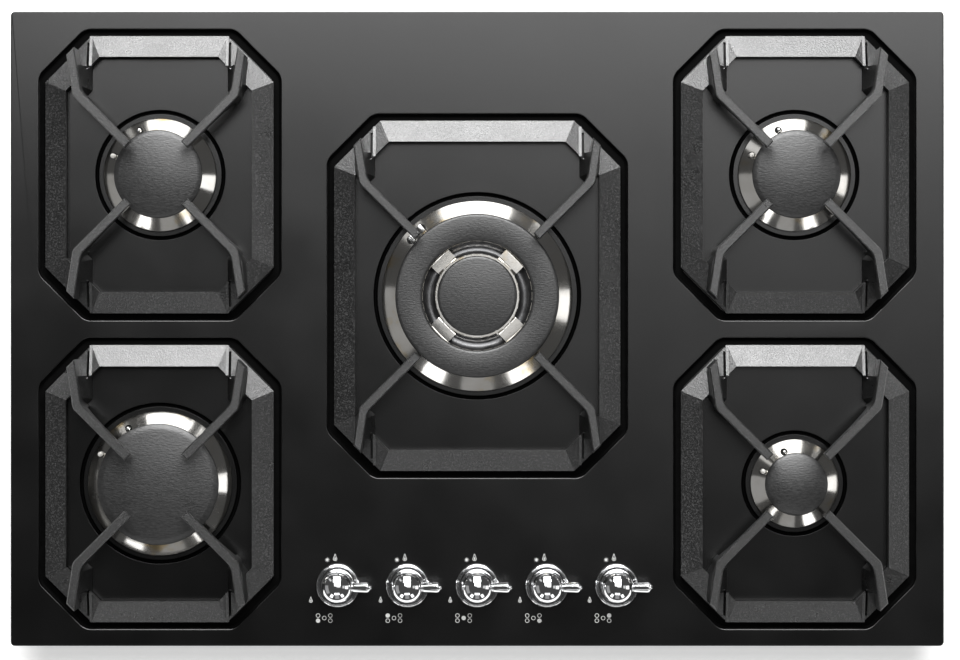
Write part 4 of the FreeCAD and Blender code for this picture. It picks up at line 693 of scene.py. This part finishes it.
def make_rods():
    """Spark electrodes with a steel point in glazed ceramic, and bare steel flame sensors."""
    ceramic_rod = [(0.05, -14), (2, -14), (2, -5), (3.6, -5), (3.6, -2.1), (2, -2.1), (2, 15.6), (1.7, 16.3),
                   (1.0, 16.7), (0.8, 16.8), (0.8, 17.2), (0.5, 17.5), (0.05, 17.5)]
    steel_rod = [(0.05, -14), (1.6, -14), (1.6, -5), (3.2, -5), (3.2, -2.1), (1.6, -2.1), (1.6, 16.2),
                 (1.3, 16.8), (0.7, 17.0), (0.05, 17.0)]
    ceramics, sensors = [], []
    for name, (x, y, crown, cap, ports, half, rods) in BURNERS.items():
        for (angle, radius), group in zip(rods, (ceramics, sensors)):
            at = rod_place(x, y, angle, radius)
            rings = ceramic_rod if group is ceramics else steel_rod
            group.append(settle(turned(rings, 20, *at), "rod", 35))
            if name == "centre":
                # The wide burner's rods end in flat bright tabs on both sides of a pan finger.
                tab = block(at[0], at[1], 15.9, 17.9, 3.1, 1.9)
                bpy.ops.mesh.select_all(action="SELECT")
                bpy.ops.mesh.bevel(offset=0.0003, segments=2, affect="EDGES")
                swing(*at, 135)
                sensors.append(settle(tab, "tab", 40))
    dress(joined(ceramics, "ceramic_electrodes"), "white_ceramic", "hob", ["spark_electrodes"])
    dress(joined(sensors, "sensor_rods"), "steel_rod", "hob", ["flame_sensors"])


# ------------------------------------------------------------------ the pan supports

def facet_edge(edge):
    """Whether two broad flat faces of the casting meet at this edge."""
    return (len(edge.link_faces) == 2 and edge.calc_face_angle(0) > math.radians(7)
            and min(face.calc_area() for face in edge.link_faces) > 0.000008)


def reach_out(piece, name):
    """Carries the fingers' roots out along the fingers to the frame's outer edge."""
    x, y = BURNERS[name][:2]
    half = BURNERS[name][5]
    root = half[0] + half[1] - 11.4 - BASIN_CUT - 7.07
    lean = math.radians(FINGER_LEAN)
    reach = ROOT_REACH * math.sqrt(2) / (math.sin(lean) + math.cos(lean))
    for side in (1, -1):
        for end in (1, -1):
            def at_root(corner, top):
                spot = corner.co * 1000 - Vector((x, y, 0))
                across, along = spot.x * side, spot.y * end
                return across > 0 and along > 0 and across + along > root - 1.6 and (
                    across + along < root + 0.1) and (spot.z > 30) == top and spot.z > 9.6
            for top, drop in ((True, 0.0), (False, ROOT_REACH * 7 / 17)):
                pick(piece, "VERT", lambda corner: at_root(corner, top))
                bpy.ops.transform.translate(value=metres(
                    side * reach * math.sin(lean), end * reach * math.cos(lean), -drop))


def make_support(name):
    """The casting: the drawing's solid with every edge rounded as a mould leaves it."""
    source = frame["nodes"]["pan_support_" + name]
    piece = source.copy()
    piece.data = source.data.copy()
    piece.parent = None
    piece.hide_render = False
    bpy.context.collection.objects.link(piece)
    only(piece)
    bpy.ops.object.mode_set(mode="EDIT")
    bpy.ops.mesh.select_all(action="SELECT")
    bpy.ops.mesh.remove_doubles(threshold=0.00001)
    bpy.ops.mesh.dissolve_limited(angle_limit=math.radians(1.5))
    reach_out(piece, name)
    pick(piece, "EDGE", facet_edge)
    bpy.ops.mesh.mark_sharp()
    bpy.ops.object.mode_set(mode="OBJECT")
    rounding = piece.modifiers.new("rounding", "BEVEL")
    rounding.width = 0.0007
    rounding.segments = 2
    rounding.limit_method = "ANGLE"
    rounding.angle_limit = math.radians(25)
    bpy.ops.object.modifier_apply(modifier="rounding")
    piece.name = "cast_grate_" + name
    bpy.ops.object.shade_smooth_by_angle(angle=math.radians(45), keep_sharp_edges=True)
    weigh_normals(piece)
    return dress(piece, "enamelled_cast_iron", "support_" + name, ["pan_support_" + name])


# ------------------------------------------------------------------ the knobs

def make_bezels():
    rings = [(14.1, 4.5), (17.0, 4.5), (17.5, 5.0), (17.5, 8.0), (17.2, 8.9), (16.6, 9.4), (16.0, 9.5),
             (15.4, 9.3), (15.0, 8.8), (14.9, 8.2), (14.8, 7.9), (14.1, 7.9)]
    first = settle(turned(rings, 72, 0, 0), "bezel", 50)
    rest = [copied(first, "bezel_%d" % number, x, KNOB_Y) for number, x in enumerate(KNOB_XS)]
    bpy.data.objects.remove(first, do_unlink=True)
    return dress(joined(rest, "bezel_rings"), "chrome", "hob", ["knob_bezels"])


def make_knobs():
    """A turned barrel with a low dome, and an eight-sided lever that grows outward."""
    dome = bow((11.35, 32.3), (0.05, 38.0), -1.5, 8)
    rings = [(0.05, 9.4), (13.2, 9.4), (13.6, 9.8), (13.6, 12.6), (13.3, 13.0), (12.4, 13.2), (12.0, 13.5),
             (11.85, 14.0), (11.85, 31.2), (11.7, 31.8), (11.35, 32.3)] + dome + [(0.05, 38.0)]
    barrel = settle(turned(rings, 72, 0, 0), "barrel", 40)
    bpy.ops.object.select_all(action="DESELECT")
    start = metres(LEVER_START, 0, LEVER_HEIGHT)
    bpy.ops.mesh.primitive_cylinder_add(vertices=8, radius=LEVER_ROOT / 1000, depth=0.001, location=start,
                                        rotation=(0, math.radians(90), 0), enter_editmode=True)
    lever = bpy.context.active_object
    bpy.ops.transform.rotate(value=math.radians(22.5), orient_axis="X", center_override=start)
    bpy.ops.mesh.select_mode(type="FACE")
    place, radius = LEVER_START + 0.5, LEVER_ROOT
    for next_place, next_radius in ((12.4, 3.45), (13.2, 3.9), (23.8, 4.4), (24.6, 4.4), (27.6, 1.6)):
        pick(lever, "FACE", lambda face: (lever.matrix_world.to_3x3() @ face.normal).x > 0.9)
        bpy.ops.mesh.extrude_region_move(TRANSFORM_OT_translate={"value": metres(next_place - place, 0, 0)})
        ratio = next_radius / radius
        bpy.ops.transform.resize(value=(1, ratio, ratio), center_override=metres(next_place, 0, LEVER_HEIGHT))
        place, radius = next_place, next_radius
    pick(lever, "EDGE", lambda edge: abs((lever.matrix_world @ edge.verts[0].co).x -
                                         (lever.matrix_world @ edge.verts[1].co).x) > 0.002)
    bpy.ops.mesh.bevel(offset=0.00035, segments=2, affect="EDGES")
    settle(lever, "lever", 30)
    knob = joined([barrel, lever], "knob")
    for number, x in enumerate(KNOB_XS):
        twin = copied(knob, "lever_knob_%d" % (number + 1), x, KNOB_Y)
        dress(twin, "chrome", "knob_%d" % (number + 1), ["knob_%d" % (number + 1)])
    bpy.data.objects.remove(knob, do_unlink=True)


# ------------------------------------------------------------------ printed marks

INK = 5.03


def printed(piece, rise=0.05):
    """Gives a flat outline the thickness of its ink."""
    only(piece)
    bpy.ops.object.mode_set(mode="EDIT")
    bpy.ops.mesh.select_all(action="SELECT")
    bpy.ops.mesh.extrude_region_move(TRANSFORM_OT_translate={"value": metres(0, 0, rise)})
    return settle(piece, "mark")


def disc(x, y, radius):
    bpy.ops.object.select_all(action="DESELECT")
    bpy.ops.mesh.primitive_circle_add(vertices=24, radius=radius / 1000, fill_type="NGON",
                                      location=metres(x, y, INK - 0.02))
    return printed(bpy.context.active_object)


def hoop(x, y, radius, width):
    return settle(turned([(radius - width, INK - 0.02), (radius, INK - 0.02), (radius, INK + 0.03),
                          (radius - width, INK + 0.03)], 24, x, y), "mark")


def drop(x, y, width, height, hollow):
    """A flame's outline: a disc whose upper corners are drawn up to a point, open inside if it's hollow."""
    bpy.ops.object.select_all(action="DESELECT")
    bpy.ops.mesh.primitive_circle_add(vertices=24, radius=width / 2000, fill_type="NGON",
                                      location=metres(x, y, INK - 0.02), enter_editmode=True)
    shape = bpy.context.active_object
    for level in (0.2, 0.55, 0.85):
        pick(shape, "VERT", lambda corner: corner.co.y * 2000 / width > level)
        bpy.ops.transform.translate(value=metres(0, (height - width) / 3, 0))
        bpy.ops.transform.resize(value=(0.72, 1, 1), center_override=metres(x, y, 0))
    if hollow:
        bpy.ops.mesh.select_all(action="SELECT")
        bpy.ops.mesh.inset(thickness=0.0004)
        bpy.ops.mesh.delete(type="FACE")
    leave_tool(shape)
    return printed(shape)


def flame(x, y, width, height):
    """A hollow flame with a small one inside it."""
    inner = (x, y - width * 0.05, width * 0.36, height * 0.4, False)
    return joined([drop(x, y, width, height, True), drop(*inner)], "flame")


def spark(x, y, size):
    """An eight-pointed spark: a disc with every other corner drawn in."""
    bpy.ops.object.select_all(action="DESELECT")
    bpy.ops.mesh.primitive_circle_add(vertices=16, radius=size / 2000, fill_type="NGON",
                                      location=metres(x, y, INK - 0.02), enter_editmode=True)
    star = bpy.context.active_object

    def between_points(corner):
        return round(math.degrees(math.atan2(corner.co.y, corner.co.x)) / 22.5) % 2 == 1

    pick(star, "VERT", between_points)
    bpy.ops.transform.resize(value=(0.3, 0.3, 1), center_override=metres(x, y, 0))
    leave_tool(star)
    return printed(star)


def make_marks():
    """Round each knob: a spark, a full and a small flame, and four circles that show its burner."""
    marks = []
    filled = ((-15.9, -28.3), (-15.9, -24.2), (-10.9, -26.2), (-6.05, -28.3), (-6.05, -24.2))
    for x, own in zip(KNOB_XS, filled):
        marks.append(spark(x - 8.5, KNOB_Y + 20.6, 4.6))
        marks.append(flame(x - 2.2, KNOB_Y + 21.4, 3.4, 5.8))
        marks.append(flame(x - 21.7, KNOB_Y - 12.4, 2.9, 4.8))
        for place in filled:
            at = (x + place[0], KNOB_Y + place[1])
            if place == own:
                marks.append(disc(*at, 1.75))
            else:
                marks.append(hoop(*at, 1.75, 0.48))
    return dress(joined(marks, "printed_marks"), "printed_marks", "hob")


# ------------------------------------------------------------------ putting it together

make_plate()
for burner in BURNERS:
    make_crown(burner)
    make_cap(burner)
    make_support(burner)
make_inner_cap()
make_rods()
make_bezels()
make_knobs()
make_marks()

for part in frame["record"]["subparts"]:
    carried = frame["nodes"][part["node"]]
    for holder in carried.material_slots:
        holder.link = "OBJECT"
        holder.material = finishes[part["material_slot"]]

# ------------------------------------------------------------------ studio

bpy.ops.object.select_all(action="DESELECT")
bpy.ops.mesh.primitive_plane_add(size=9, location=(0, 0, cad_box[0][2] - 0.0004))
floor = bpy.context.active_object
floor.name = "studio_floor"
floor_finish, floor_tree, floor_shader, floor_place = begin(
    "pale_paper", {"Roughness": 0.85, "Emission Color": (1.0, 1.0, 1.0, 1.0), "Emission Strength": 0.35})
fibre = grain(floor_tree, floor_place, 6, 3)
tone = ramp(floor_tree, fibre, "Fac", [(0.3, "#f4f4f3"), (0.7, "#f7f7f6")])
floor_tree.links.new(tone.outputs["Color"], floor_shader.inputs["Base Color"])
floor.data.materials.append(floor_finish)


def panel(name, bearing, rise, reach, width, height, glow, target=(0.0, 0.0, 0.0)):
    """A soft panel that faces a point, seen from there at a bearing and a rise in degrees.

    Its sizes and its distance are metres, and its glow is its radiance."""
    lamp = bpy.data.lights.new(name, "AREA")
    lamp.shape = "RECTANGLE"
    lamp.size = width
    lamp.size_y = height
    lamp.energy = glow * math.pi * width * height
    turn, lift = math.radians(bearing), math.radians(rise)
    away = Vector((math.cos(turn) * math.cos(lift), math.sin(turn) * math.cos(lift), math.sin(lift))) * reach
    holder = bpy.data.objects.new(name, lamp)
    bpy.context.collection.objects.link(holder)
    holder.location = Vector(target) + away
    holder.rotation_euler = (-away).to_track_quat("-Z", "Y").to_euler()
    return holder


# Overhead: a bright panel behind the camera's line and a weaker one over the middle and the right.
panel("overhead_rear", 90, 68, 3.4, 2.4, 1.7, 4.8, (0.2, 0.0, 0.0))
panel("overhead_right", 90, 86, 3.6, 1.7, 0.6, 1.0, (0.75, -0.05, 0.0))
# The key from the rear at the height that the grates' rear bevels mirror, and a weak one from the front.
panel("rear_key", 90, 44, 3.2, 2.6, 1.1, 19.0)
panel("front_fill", 270, 46, 3.2, 1.6, 0.8, 2.4)
panel("right_fill", 0, 45, 3.2, 0.9, 0.9, 0.7)
# Panels round the room, which the polished crowns mirror.
panel("room_rear", 91, 22, 2.6, 2.0, 1.1, 2.6)
panel("room_rear_left", 136, 22, 2.6, 0.45, 1.1, 0.7)
panel("room_left", 196, 22, 2.6, 2.0, 1.1, 0.3)
panel("room_front_left", 240, 22, 2.6, 0.62, 1.1, 2.6)
panel("room_front", 270, 22, 2.6, 0.9, 1.1, 0.3)
panel("room_front_right", 299, 22, 2.6, 0.62, 1.1, 2.3)
panel("room_right", 355, 22, 2.6, 0.85, 1.1, 1.5)

world = bpy.data.worlds.new("studio")
bpy.context.scene.world = world
world.use_nodes = True
world.node_tree.nodes["Background"].inputs["Color"].default_value = paint("#bcbcbc")
world.node_tree.nodes["Background"].inputs["Strength"].default_value = 0.14

lens = bpy.data.cameras.new("overhead")
lens.sensor_width = 36
lens.lens = 130.7
lens.clip_end = 30
camera = bpy.data.objects.new("overhead", lens)
bpy.context.collection.objects.link(camera)
camera.location = (0.0022, -0.001, 2.805)
camera.rotation_euler = (0, 0, 0)
bpy.context.scene.camera = camera
bpy.context.scene.view_settings.view_transform = "Standard"
